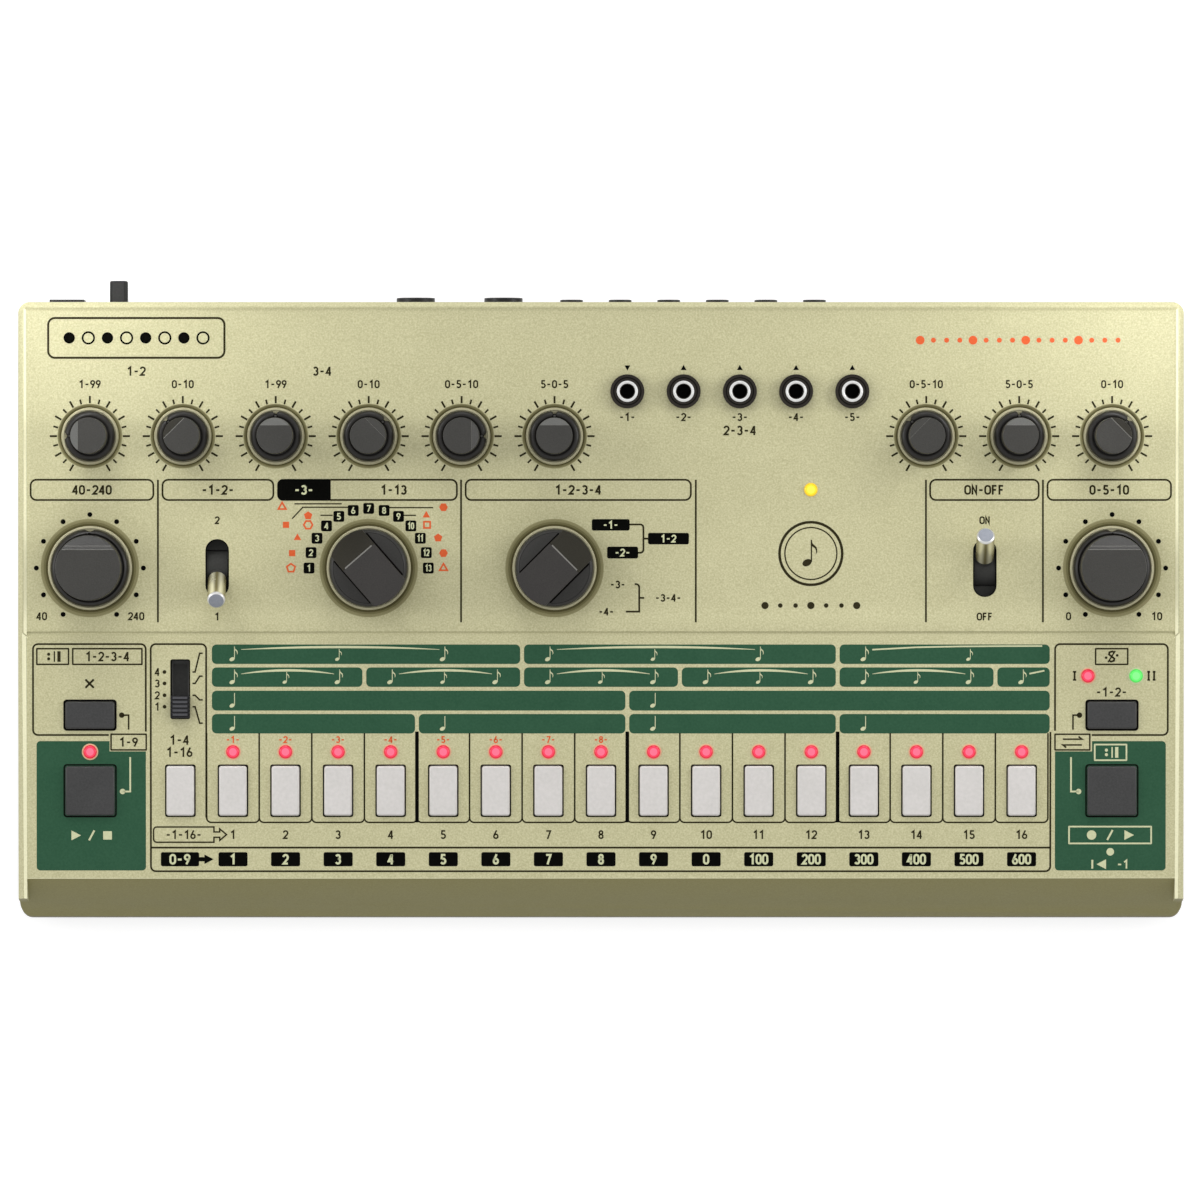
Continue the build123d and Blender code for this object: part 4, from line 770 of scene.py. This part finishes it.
def right_panel(ink, green, light):
    """The frame and signs round the two buttons and two lamps at the right."""
    ink.stroke([(128.4, -25.6), *arc(147.0, -24.3, 1.3, 270, 360), *arc(147.0, -3.1, 1.3, 0, 90),
                *arc(120.1, -3.1, 1.3, 90, 180), (118.8, -24.5)])
    ink.box(129.4, -3.0, 137.8, -7.1, *LABEL)
    sign(ink, 133.6, -5.05)
    ink.words("I", 123.9, -10.1, 2.4, 0.2)
    ink.words("II", 144.0, -10.1, 2.4, 0.2, 0.85)
    ink.words("-1-2-", 133.6, -14.35, 2.4, 0.18)
    connector(ink, (125.2, -20.4), (123.5, -24.2))
    ink.box(118.8, -25.4, 127.9, -29.5, *LABEL)
    for way, y in ((1, -26.7), (-1, -28.2)):
        x = 123.35
        ink.stroke([(x - 2.5 * way, y), (x + 2.5 * way, y), (x + 1.6 * way, y + 0.7 * way)], FINE)
    green.fill([*arc(146.8, -28.2, 1.0, 0, 90), (128.5, -27.2), (128.5, -29.9), (118.8, -29.9),
                *arc(119.8, -60.1, 1.0, 180, 270), *arc(146.8, -60.1, 1.0, 270, 360)])
    light.box(129.2, -28.1, 137.5, -32.2, *LABEL)
    repeat_sign(light, 133.35, -30.15)
    connector(light, (125.0, -40.4), (123.0, -31.4))
    light.box(122.5, -49.6, 144.0, -54.0, *LABEL)
    light.disc(128.4, -51.8, 1.25)
    light.stroke([(132.5, -53.1), (133.9, -50.5)], 0.5)
    play_sign(light, 138.2, -51.8)
    light.disc(133.3, -56.2, 1.0)
    light.stroke([(128.6, -60.6), (128.6, -58.3)], 0.5)
    play_sign(light, 131.0, -59.45, -1)
    light.words("-1", 136.6, -59.45, 2.3, 0.18)


def connector(sheet, dot, end):
    """A dot, a short line and a drop that tie a button to the sign beside it."""
    sheet.disc(*dot, 0.72)
    sheet.stroke([dot, (end[0], dot[1]), end], 0.44)


def play_sign(sheet, x, y, way=1):
    sheet.fill([(x - 1.2 * way, y - 1.3), (x + 1.3 * way, y), (x - 1.2 * way, y + 1.3)])


def repeat_sign(sheet, x, y):
    """The musical repeat: a thick and a thin bar with two dots."""
    sheet.stroke([(x + 1.6, y - 1.4), (x + 1.6, y + 1.4)], 0.85)
    sheet.stroke([(x + 0.4, y - 1.4), (x + 0.4, y + 1.4)], 0.36)
    for side in (-1, 1):
        sheet.disc(x - 1.1, y + 0.6 * side, 0.42, 12)


def sign(sheet, x, y):
    """The musical sign: a slanted S with a stroke through it and two dots."""
    curl = [(0.8, 1.0), (0.2, 1.35), (-0.6, 1.1), (-0.7, 0.55)]
    curl += [(0, 0), *[(-a, -b) for a, b in reversed(curl)]]
    sheet.stroke([(x + a, y + b) for a, b in curl], 0.5)
    sheet.stroke([(x - 0.95, y - 1.5), (x + 0.95, y + 1.5)], 0.36)
    for side in (-1, 1):
        sheet.disc(x - 1.45 * side, y - 0.3 * side, 0.36, 12)


# ---- dials ----
WELL_FLOOR = -0.8
SMALL_WELL = (8.4, 0.8, 6.72)  # radius, run of its bevel, inner radius of its pale ring
LARGE_WELL = (12.8, 1.6, 10.25)
BEVEL_BANDS = (0.25, 0.6, 1)  # where the tones of its painted shade end, from foot to top
COVERING = 0.1  # how far a laid-in ring clears the bevel under it
SMALL_SKIRT = [(6.6, -0.5), (6.6, 0.9), (6.5, 1.4), (6.28, 1.8), (5.95, 2.08), (5.5, 2.2), (5.15, 2.12),
               (4.9, 1.85), (4.72, 1.85), (4.7, 2.35)]
LARGE_SKIRT = [(10.15, -0.5), (10.15, 1.0), (10.05, 1.65), (9.8, 2.15), (9.45, 2.48), (9.1, 2.6),
               (8.85, 2.45), (8.7, 2.2), (8.52, 2.2), (8.5, 2.75)]
DISC = [(10.15, -0.5), (10.15, 3.3), (10.0, 3.8), (9.6, 4.25), (9.3, 4.38), (9.15, 4.3), (8.95, 4.4),
        (0, 4.4)]
DISC_TOP = 4.4
DISC_NOTCH = 9.5
DISC_EDGE = 0.14
# a skirt, its top, the radius at its notch, its pip's place and radius, the cap's rounded edge
SMALL = (SMALL_SKIRT, 2.2, 5.7, 5.25, 0.6, 0.12)
LARGE = (LARGE_SKIRT, 2.6, 9.4, 8.85, 0.4, 0.45)
SMALL_CREASE = (2.67, 13.5, 4.7)  # where the cap starts to slope, its top, its radius
LARGE_CREASE = (4.7, 15.0, 8.5)
LARGE_SLOPE = tan(radians(25))
CREST = (3.57, 14.0, 10.7)  # where the bar starts to slope, its top, its width
BAR_LENGTH = 14.4  # of a selector
SIDES = 96
# painted light and shade on the small knobs' sloping faces, lighter or darker by the way each one faces
FACETS = (FACET_PAINTED_LIGHT, FACET_PAINTED_SHADE, FACET_PAINTED_LIGHT, KNOB, KNOB, FACET_PAINTED_LIGHT, KNOB, FACET_PAINTED_LIGHT, FACET_PAINTED_SHADE)


def dial_wells():
    """In each well a pale ring round the knob, and round that a bevel in painted shade, darker towards its
    foot.
    """
    rings, bevels = [], []
    wells = [(x, KNOB_ROW, SMALL_WELL) for x in SMALL_KNOBS]
    wells += [(x, CONTROL_ROW, LARGE_WELL) for x in LARGE_DIALS]
    for x, row, (radius, run, inner) in wells:
        foot, rise = radius - run, -WELL_FLOOR / run
        outer = foot - 0.2
        profile = [(inner - 0.7, -0.75), (inner, -0.6), (inner + 0.15, -0.25),
                   (outer - 0.2, -0.2), (outer, -0.45), (outer, WELL_FLOOR)]
        rings.append((*turned(profile, SIDES), x, row, 0))
        top = radius - COVERING / rise + 0.03 / rise
        stops = [foot - 0.3] + [foot + (top - foot) * share for share in BEVEL_BANDS]
        for mark, (first, last) in enumerate(zip(stops, stops[1:])):
            slope = [(r, WELL_FLOOR + COVERING + (r - foot) * rise) for r in (first, last)]
            if last == stops[-1]:
                slope.append((radius + 0.06, 0.03))
            bevels.append((*turned(slope, SIDES), x, row, mark))
    solid("dial_rings", UPPER, rings, CREAM)
    solid("dial_bevel_shades", UPPER, bevels, (DISH_SHADE_FOOT, DISH_SHADE_MIDDLE, DISH_SHADE))


def highlight_line(start, top, half, width=0.16):
    """A painted highlight: a fine raised pale line across a knob's face, on the slope just ahead of its edge.
    """
    return (*cuboid(-half, half, start + 0.01, start + width, top - 0.3, top), 0, 0, 1)


def knob(name, x, row, pointer, facet, size):
    """A glossy turned skirt with a notch and a pip, under the satin cap taken from the CAD knob."""
    skirt, top, notch, place, pip, edge = size
    # the cap's sloping face takes its knob's tone of painted light and shade
    softened(name, edge, (KNOB, facet), name, cut=top + 0.02)
    shapes = [turned(skirt, SIDES, notch)]
    pips = [(2, pip, top + 0.08)]
    if size is SMALL:
        pips.append((3, pip * 0.55, top + 0.2))
    for mark, radius, high in pips:  # a dark pip, on the small knobs with a spot on it
        shapes.append((*turned([(radius, 0), (radius, high - 0.1), (0, high)], 20), 0, place, mark))
    if size is SMALL:
        start, high, reach = SMALL_CREASE
        half = sqrt(reach ** 2 - start ** 2) - 0.05
        shapes.append(highlight_line(start, high, half, 0.13 if facet is FACET_PAINTED_SHADE else 0.05))
    else:
        start, high, reach = LARGE_CREASE
        for ahead in (0, 0.9):
            half = sqrt(reach ** 2 - (start + ahead) ** 2) - 0.3
            shapes.append(highlight_line(start + ahead, high - ahead * LARGE_SLOPE, half))
    plane = at(UPPER, x, row, turn=-pointer)
    solid(f"{name}_skirt", plane, shapes, (SKIRT, EDGE, BLACK_AND_SHADE, KNOB), name)


def selector(name, x, pointer):
    """A turned disc with a notch, under the grip bar taken from the CAD knob."""
    # the bar's sloping face takes painted shade
    softened(name, DISC_EDGE, (SELECTOR, FACET_PAINTED_SHADE), name, cut=DISC_TOP + 0.02)
    start, high, width = CREST
    shapes = [turned(DISC, SIDES, DISC_NOTCH), highlight_line(start, high, width / 2 - 0.75, 0.36)]
    for side in (-1, 1):  # painted shade: a dark line along the bar's foot
        middle, reach = side * (width / 2 + 0.15), BAR_LENGTH / 2
        shade = cuboid(middle - 0.3, middle + 0.3, -reach, reach, DISC_TOP - 0.3, DISC_TOP + 0.05)
        shapes.append((*shade, 0, 0, 2))
    plane = at(UPPER, x, CONTROL_ROW, turn=-pointer)
    solid(f"{name}_disc", plane, shapes, (SELECTOR_DISC, EDGE, BLACK_AND_SHADE), name)


def knobs():
    for i, (x, pointer, facet) in enumerate(zip(SMALL_KNOBS, POINTERS, FACETS)):
        knob(f"voice_knob_{i + 1}", x, KNOB_ROW, pointer, facet, SMALL)
    for name, x in (("tempo_knob", -OUTER_COLUMN), ("volume_knob", OUTER_COLUMN)):
        knob(name, x, CONTROL_ROW, 0, FACET_PAINTED_HALF_SHADE, LARGE)
    selector("instrument_selector", INSTRUMENT_X, INSTRUMENT_POINTER)
    selector("mode_selector", MODE_X, MODE_POINTER)


# ---- levers, slots and keys ----
INSIDE = 0.08  # a gap shade's wall, inside its hole
LIP_TOP = 0.03  # of a gap shade's lip, over the deck
LEVER_SLOT = (5.9, 14.9, 2.86)  # width, length, corner radius
SLIDER_SLOT = (4.75, 15.2, 0.3)
KEY_HOLE = (7.69, 13.44, 0.5)
SQUARE_HOLE = (13.34, 13.34, 0.6)
OBLONG_HOLE = (13.34, 7.59, 0.6)
# painted shade in the gaps round the levers, slider, keys and buttons
LEVER_GAP_SHADE = (-2.9, 0.12)  # how deep its wall goes, how wide its lip is
SLIDER_GAP_SHADE = (-3.2, 0.22)
KEY_GAP_SHADE = (-2.4, 0.16)
BUTTON_GAP_SHADE = (-2.4, 0.3)
# the lever's foot, down in its slot, takes painted shade
LEVER_SLOT_SHADE = [(0, 0), (2.2, 0), (2.3, 3.0), (2.3, 6.2)]
LEVER = [(2.3, 6.2), (2.36, 6.3), (2.36, 17.05)]
# painted highlight: the rounded rim of the lever's tip in bright plated steel
LEVER_RIM = [(2.36, 17.05), (2.28, 17.4), (1.95, 17.68)]
LEVER_TIP = [(1.95, 17.68), (1.85, 17.7), (0, 17.75)]
TRUNNION = [(0, -2.7), (2.3, -2.7), (2.7, -2.4), (2.7, 2.4), (2.3, 2.7), (0, 2.7)]
AXLE = [(0, -4.25), (0.78, -4.25), (0.78, 4.25), (0, 4.25)]
SHIELD = (5.4, 5.0, 2.72, 85)  # outer and inner radius, half its width, degrees each way
SHIELD_STEPS = 24
SLOT_PLATE = (2.86, 4.75, 7.35, 0.04)  # half its width, its near and far ends, its thickness
SLOT_PLATE_TOP = -2.94
SLIDER_REST = SLIDER_ROW - 4.575
SLIDER_TOP = 2.7
SLIDER_EDGE = 0.12  # radius of the rounded edges
RIB_REACH, RIB_HALF = 1.93, 0.3  # half the length and half the width of a rib
RIB_ROWS = [-2.0 + 1.1 * i for i in range(5)]
KEY_EDGE = 0.25
POWER_EDGE = 0.3


def frames(name, plane, holes, low, lip):
    """Painted shade in the gaps round openings: a thin dark lip on the deck and a dark wall down inside each
    hole.
    """
    shapes = []
    for x, y, (width, length, corner) in holes:
        across, along = width / 2, length / 2
        outer = rounded(-across - lip, along + lip, across + lip, -along - lip, corner + lip)
        inner = rounded(-across + INSIDE, along - INSIDE, across - INSIDE, -along + INSIDE, corner)
        rings = ((outer, 0.0), (outer, LIP_TOP), (inner, LIP_TOP), (inner, low))
        points = [(px, py, z) for ring, z in rings for px, py in ring]
        shapes.append((points, walls(len(outer), len(rings)), x, y, 0))
    solid(name, plane, shapes, BLACK_AND_SHADE)


def shield():
    """(vertices, faces) of a curved cover about a lever's axle, which hides the switch below the slot."""
    outer, inner, half, reach = SHIELD
    angles = [radians(90 - reach + 2 * reach / SHIELD_STEPS * i) for i in range(SHIELD_STEPS + 1)]
    points = [(x, r * cos(a), r * sin(a)) for a in angles for r in (outer, inner) for x in (-half, half)]
    faces = [(4 * i + a, 4 * i + b, 4 * i + b + 4, 4 * i + a + 4)
             for i in range(SHIELD_STEPS) for a, b in ((0, 1), (1, 3), (3, 2), (2, 0))]
    last = 4 * SHIELD_STEPS
    return points, [*faces, (0, 2, 3, 1), (last, last + 1, last + 3, last + 2)]


def slot_plate(way):
    """(vertices, faces) of a thin dark plate between the curved cover and one end of a lever's slot."""
    half, near, far, thick = SLOT_PLATE
    outline = [(x, y * way) for x, y in rounded(-half, far, half, near, half - 0.06, ("bl", "br"))]
    count = len(outline)
    points = [(x, y, SLOT_PLATE_TOP - low) for low in (0, thick) for x, y in outline]
    return points, [tuple(range(count)), tuple(range(count, 2 * count)), *walls(count)]


def levers():
    """Plated levers whose dark trunnions turn below the deck."""
    parts = (LEVER, LEVER_TIP, LEVER_SLOT_SHADE, LEVER_RIM)
    for side, name in ((-1, "left_toggle"), (1, "right_toggle")):
        pivot = at(UPPER, side * TOGGLE_X, CONTROL_ROW, -TOGGLE_PIVOT, -side * TOGGLE_TILT, "X")
        shapes = [(*turned(part), 0, 0, mark) for mark, part in enumerate(parts)]
        solid(f"{name}_look", pivot, shapes, (LEVER_GOLD_REFLECTIONS, TIP, SLOT_SHADE, PLATED), name, (name,))
        solid(f"{name}_shield", pivot, [shield()], SLOT_SHADE, name)
        across = at(pivot, 0, 0, turn=90, axis="Y")
        shapes = [turned(TRUNNION, 32), turned(AXLE, 16)]
        solid(f"{name}_trunnion", across, shapes, BLACK_AND_SHADE, name)
    places = [(side * TOGGLE_X, CONTROL_ROW) for side in (-1, 1)]
    frames("toggle_slot_frames", UPPER, [(*place, LEVER_SLOT) for place in places], *LEVER_GAP_SHADE)
    plates = [(*slot_plate(way), *place, 0) for place in places for way in (-1, 1)]
    solid("toggle_slot_plates", UPPER, plates, SLOT_SHADE)


def slider():
    """The sliding cap in its slot, with ribs across its top."""
    frames("slider_slot_gap_shade", LOWER, [(SLIDER_X, SLIDER_ROW, SLIDER_SLOT)], *SLIDER_GAP_SHADE)
    softened("scale_slider", SLIDER_EDGE, SLIDER_DARK, "scale_slider")
    low, high = SLIDER_TOP - 0.3, SLIDER_TOP + 0.02
    ribs = [cuboid(-RIB_REACH, RIB_REACH, row - RIB_HALF, row + RIB_HALF, low, high) for row in RIB_ROWS]
    plane = at(LOWER, SLIDER_X, SLIDER_REST)
    solid("scale_slider_ribs", plane, ribs, SLIDER_RIB, "scale_slider")


def keys():
    holes = [(x, KEY_ROW, KEY_HOLE) for x in (SLIDER_X, *STEPS)]
    frames("key_frames", LOWER, holes, *KEY_GAP_SHADE)
    holes = [(side * OUTER_COLUMN, row, hole)
             for row, hole in ((KEY_ROW, SQUARE_HOLE), (OBLONG_ROW, OBLONG_HOLE)) for side in (-1, 1)]
    frames("button_frames", LOWER, holes, *BUTTON_GAP_SHADE)
    for name in ["function_key"] + [f"step_key_{i + 1:02d}" for i in range(16)]:
        softened(name, KEY_EDGE, KEY_WHITE, name, 3)
    for name in ("start_button", "write_button", "clear_button", "group_button"):
        softened(name, KEY_EDGE, KEY_DARK, name, 3)
    softened("power_button", POWER_EDGE, BLACK, "power_button", 3)


# ---- lamps ----
LENS = ([(1.78, 0.0), (1.78, 0.15), (1.66, 0.36), (1.4, 0.52)], [(1.4, 0.52), (1.2, 0.59), (1.0, 0.63)],
        [(1.0, 0.63), (0.5, 0.69), (0, 0.7)])
STEM = cuboid(-1, 1, -1, 1, -11.5, 0)


def lenses(name, plane, places, tones):
    """Domed lenses, brighter towards the middle, on the stems that stand on the boards."""
    shapes = []
    for x, y in places:
        shapes += [(*turned(profile, 32), x, y, mark) for mark, profile in enumerate(LENS)]
        shapes.append((*STEM, x, y, 0))
    solid(f"{name}_look", plane, shapes, tuple(tones), replaces=(name,), sharp=radians(60))


def lamps():
    lenses("red_lamps", LOWER, RED_LAMPS, LENS_REDS)
    lenses("green_lamp", LOWER, STATUS_LAMPS[1:], LENS_GREENS)
    lenses("yellow_lamp", UPPER, [YELLOW_LAMP], LENS_YELLOWS)


# ---- sockets ----
PANEL_RING = (1.98, 2.82, NUT_TOP)  # inner and outer radius, height
JACK_RING = (1.95, 2.8, 1.1)
OUTPUT_RING = (3.45, 4.7, 1.6)
NUT_LINE = [(3.4, NUT_TOP), (3.55, NUT_TOP + 0.02), (3.7, NUT_TOP)]
DIN_CIRCLE = 3.75  # radius on which the pin holes lie
DIN_PIN = [(0, 0.01), (0.75, 0.01), (0.75, 0.0)]
SOCKET_EDGE = 0.2
USB_EDGE = 0.15


def bright_rings(name, plane, places, hole, edge, top):
    """Plated rings round the sockets' mouths."""
    profile = [(hole, top - 0.6), (hole, top - 0.02), ((hole + edge) / 2, top + 0.12),
               (edge, top - 0.02), (edge, top - 0.6)]
    solid(name, plane, [(*turned(profile), x, y, 0) for x, y in places], PLATED)


def sockets():
    softened("panel_jacks", SOCKET_EDGE, NUT)
    for name in ("rear_jacks", "output_sockets", "dc_inlet", "midi_sockets"):
        softened(name, SOCKET_EDGE, BLACK)
    softened("usb_socket", USB_EDGE, PLATED)
    panel = [(x, PANEL_JACK_ROW) for x in PANEL_JACKS]
    bright_rings("panel_jack_rings", UPPER, panel, *PANEL_RING)
    # painted shade: a dark line round each nut's top, standing for a groove
    lines = [(*turned(NUT_LINE), x, y, 0) for x, y in panel]
    solid("panel_nut_lines", UPPER, lines, BLACK_AND_SHADE)
    bright_rings("rear_jack_rings", REAR, [(-x, 0) for x in REAR_JACKS], *JACK_RING)
    bright_rings("output_rings", REAR, [(-x, 0) for x in OUTPUTS], *OUTPUT_RING)
    # painted shade: flat dark discs where the pins' holes are
    holes = [(*turned(DIN_PIN, 20), *place, 0)
             for x in DIN_PLACES for place in arc(-x, DIN_RISE, DIN_CIRCLE, 0, 180, 4)]
    solid("midi_pin_hole_shades", REAR, holes, BLACK_AND_SHADE)


# ---- underside ----
BOSS_PLACES = [(side * 145.3, y) for side in (-1, 1) for y in (30.0, -5.0, -62.0)]
FOOT_HEIGHT = 3.0
FOOT_EDGE = 0.8
SCREW_HEAD = [(2.7, 0), (2.7, -0.5), (2.3, -1.2), (1.4, -1.55), (0, -1.6)]
CROSS = (1.6, 0.25)  # half the length and half the width of its arms
CROSS_DEPTH = 1.62  # below the case
SQUARE = ((-1, -1), (1, -1), (1, 1), (-1, 1))


def case_screws():
    """Pan-head screws under the case, each with a flat dark cross on its head, painted shade for its cross
    recess.
    """
    head = turned([(radius, z + FOOT_HEIGHT) for radius, z in SCREW_HEAD], 32)
    shapes = []
    for x, y in BOSS_PLACES:
        shapes.append((*head, x, y, 0))
        for across, along in (CROSS, CROSS[::-1]):
            corners = [(a * across, b * along, FOOT_HEIGHT - CROSS_DEPTH) for a, b in SQUARE]
            shapes.append((corners, [(0, 1, 2, 3)], x, y, 1))
    solid("case_screws", FLAT, shapes, (SCREW_STEEL, BLACK_AND_SHADE))


# ---- the covers and what keeps its CAD shape ----
KEPT = {
    "bottom_cover": BASE, "control_board": BOARD, "key_board": BOARD, "rear_board": BOARD,
    "pot_bodies": CASE_BLACK, "selector_bodies": CASE_BLACK, "key_switches": CASE_BLACK,
    "power_switch_body": CASE_BLACK, "toggle_switch_bodies": SLOT_DARK, "slide_switch_body": SLOT_DARK,
    "ribbon_cables": RIBBON,
}
EASED = 0.22  # radius of the cover's long edges
LONG = 25.0  # edges over this length are eased
RIM_INSIDE = 148.0  # the side rims' inner faces lie beyond this


def cover():
    """The top cover with its long edges eased: painted shade in front, painted highlight on its rims' slopes
    and front edge.
    """
    shape = cleaned("top_cover")
    long = [e for e in shape.edges if e.calc_length() > LONG * MM and e.calc_face_angle(0) > radians(20)]
    bmesh.ops.bevel(shape, geom=long, offset=EASED * MM, offset_type="OFFSET", segments=2, profile=0.5,
                    affect="EDGES", clamp_overlap=False)
    front = (LOWER @ Vector((0, -LOWER_LENGTH - 0.1, 0))).y
    for face in shape.faces:
        face.smooth = True
        place, way = face.calc_center_median(), face.normal
        # painted shade on the front face
        chin = place.y < front and way.y < -0.3
        # painted highlight on what slopes down from a side rim to the deck, and on the eased edge between the
        # deck and the front face
        inward = abs(place.x) > RIM_INSIDE * MM and way.x * place.x < 0 and abs(way.x) > 0.3 and way.z > 0.3
        eased = abs(place.y - front) < 0.4 * MM and -0.85 < way.y < -0.2
        face.material_index = 2 if inward or eased else int(chin)
    piece = shaped(shape, bpy.data.meshes.new("top_cover_shape"), "top_cover_look")
    placed(piece, (PAINT, CHIN_SHADE, PAINT_HIGHLIGHT), "housing", ("top_cover",))


def dress_kept_nodes():
    for name, material in KEPT.items():
        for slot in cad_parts[name].material_slots:
            slot.material = material
    softened("rubber_feet", FOOT_EDGE, RUBBER, steps=4)


# ---- studio ----
SHOWN_TO = ("Is Camera Ray", "Is Glossy Ray", "Is Transmission Ray")  # rays that meet a plain white surround
VIEW_SCALE = 0.26158  # mm for each of the picture's 1200 columns, on the upper deck
PICTURE = 1200
VIEW_CENTRE = (-0.26, -77.96)  # the point of the upper deck at the picture's centre
VIEW_DISTANCE = 3500.0
SENSOR = 36.0
SKY = ((0.0, 0.75), (0.35, 0.97), (0.7, 1.1), (1.0, 0.98))  # height of a direction, brightness
SKY_FRONT, SKY_REAR = 0.42, 1.12  # how much darker and brighter the sky is in front and behind
BOXES = (("left", -1.15, 0.1, 4.0), ("rear", 0.0, 1.15, 2.6), ("right", 1.15, 0.1, 4.0))  # name, x, y, watts
BOX_HEIGHT = 0.62
BOX_SIZE = (0.45, 0.8)
BOX_TARGET = (0, 0, 0.03)
CORNER_LAMP = (0.156, 0.09, 0.12)  # a small lamp over each rear corner, in metres
CORNER_LAMP_SIZE = (0.04, 0.04)
CORNER_LAMP_WATTS = 0.055
FLOOR_REACH = 3  # metres each way
FLOOR_COLOUR = 0.35
FLOOR_GLOW = 0.77  # what SHOWN_TO's rays see on the floor, besides its lit colour


def shown(tree):
    """One for what the camera, a gloss or a glass sees, and nought for the rays that light the object."""
    path = tree.nodes.new("ShaderNodeLightPath")
    first, second, third = [path.outputs[name] for name in SHOWN_TO]
    pair = added(tree, "Math", "Value", {0: first, 1: second}, "MAXIMUM")
    return added(tree, "Math", "Value", {0: pair, 1: third}, "MAXIMUM")


def camera():
    """A long lens straight over the upper deck, as in the photo."""
    data = bpy.data.cameras.new("camera")
    data.sensor_width = SENSOR
    data.lens = SENSOR * VIEW_DISTANCE / (VIEW_SCALE * PICTURE)
    data.clip_start, data.clip_end = 0.05, 50
    seen = as_object("camera", data)
    turn = Matrix.Rotation(radians(UPPER_TILT), 4, "X")
    seen.matrix_world = Matrix.Translation(UPPER @ Vector((*VIEW_CENTRE, VIEW_DISTANCE))) @ turn
    bpy.context.scene.camera = seen


def softbox(name, place, target, size, power):
    """A rectangular lamp aimed at a place, which the camera doesn't see."""
    data = bpy.data.lights.new(name, "AREA")
    data.shape, data.energy = "RECTANGLE", power
    data.size, data.size_y = size
    lamp = as_object(name, data)
    lamp.location = place
    lamp.rotation_euler = (Vector(target) - Vector(place)).to_track_quat("-Z", "Y").to_euler()
    lamp.visible_camera = False


def floor():
    """The white ground: it takes the object's shadow, and the camera sees it glow."""
    mesh = bpy.data.meshes.new("floor")
    mesh.from_pydata([(x * FLOOR_REACH, y * FLOOR_REACH, 0) for x, y in SQUARE], [], [(0, 1, 2, 3)])
    piece = as_object("floor", mesh)
    made = bpy.data.materials.new("floor_white")
    made.use_nodes = True
    tree = made.node_tree
    feed(tree, tree.nodes["Principled BSDF"], {
        "Base Color": (FLOOR_COLOUR,) * 3 + (1,), "Roughness": 0.9, "Specular IOR Level": 0.1,
        "Emission Color": (1, 1, 1, 1),
        "Emission Strength": added(tree, "Math", "Value", {0: shown(tree), 1: FLOOR_GLOW}, "MULTIPLY")})
    piece.data.materials.append(made)


def sky():
    """A pale surround, darker in front; the camera, gloss and glass see plain white."""
    world = bpy.data.worlds.new("studio")
    bpy.context.scene.world = world
    world.use_nodes = True
    tree = world.node_tree
    apart = tree.nodes.new("ShaderNodeSeparateXYZ")
    feed(tree, apart, {"Vector": added(tree, "TexCoord", "Generated")})
    bright = ramp(tree, apart.outputs["Z"], [(height, (level, level, level, 1)) for height, level in SKY])
    lean = added(tree, "MapRange", "Result", {
        "Value": apart.outputs["Y"], "From Min": -1, "To Min": SKY_FRONT, "To Max": SKY_REAR})
    glow = added(tree, "Math", "Value", {0: bright, 1: lean}, "MULTIPLY")
    strength = added(tree, "Math", "Value", {0: glow, 1: shown(tree)}, "MAXIMUM")
    feed(tree, tree.nodes["Background"], {"Color": (1, 1, 1, 1), "Strength": strength})


def studio():
    floor()
    sky()
    for name, x, y, power in BOXES:
        softbox(f"{name}_box", (x, y, BOX_HEIGHT), BOX_TARGET, BOX_SIZE, power)
    across, back, high = CORNER_LAMP
    for side, name in ((-1, "left"), (1, "right")):
        target = (side * across, back - 0.004, 0)
        softbox(f"{name}_corner", (side * across, back, high), target, CORNER_LAMP_SIZE, CORNER_LAMP_WATTS)
    bpy.context.scene.view_settings.view_transform = "Standard"


dress_kept_nodes()
cover()
upper_print()
lower_print()
dial_wells()
knobs()
levers()
slider()
keys()
lamps()
sockets()
case_screws()
camera()
studio()
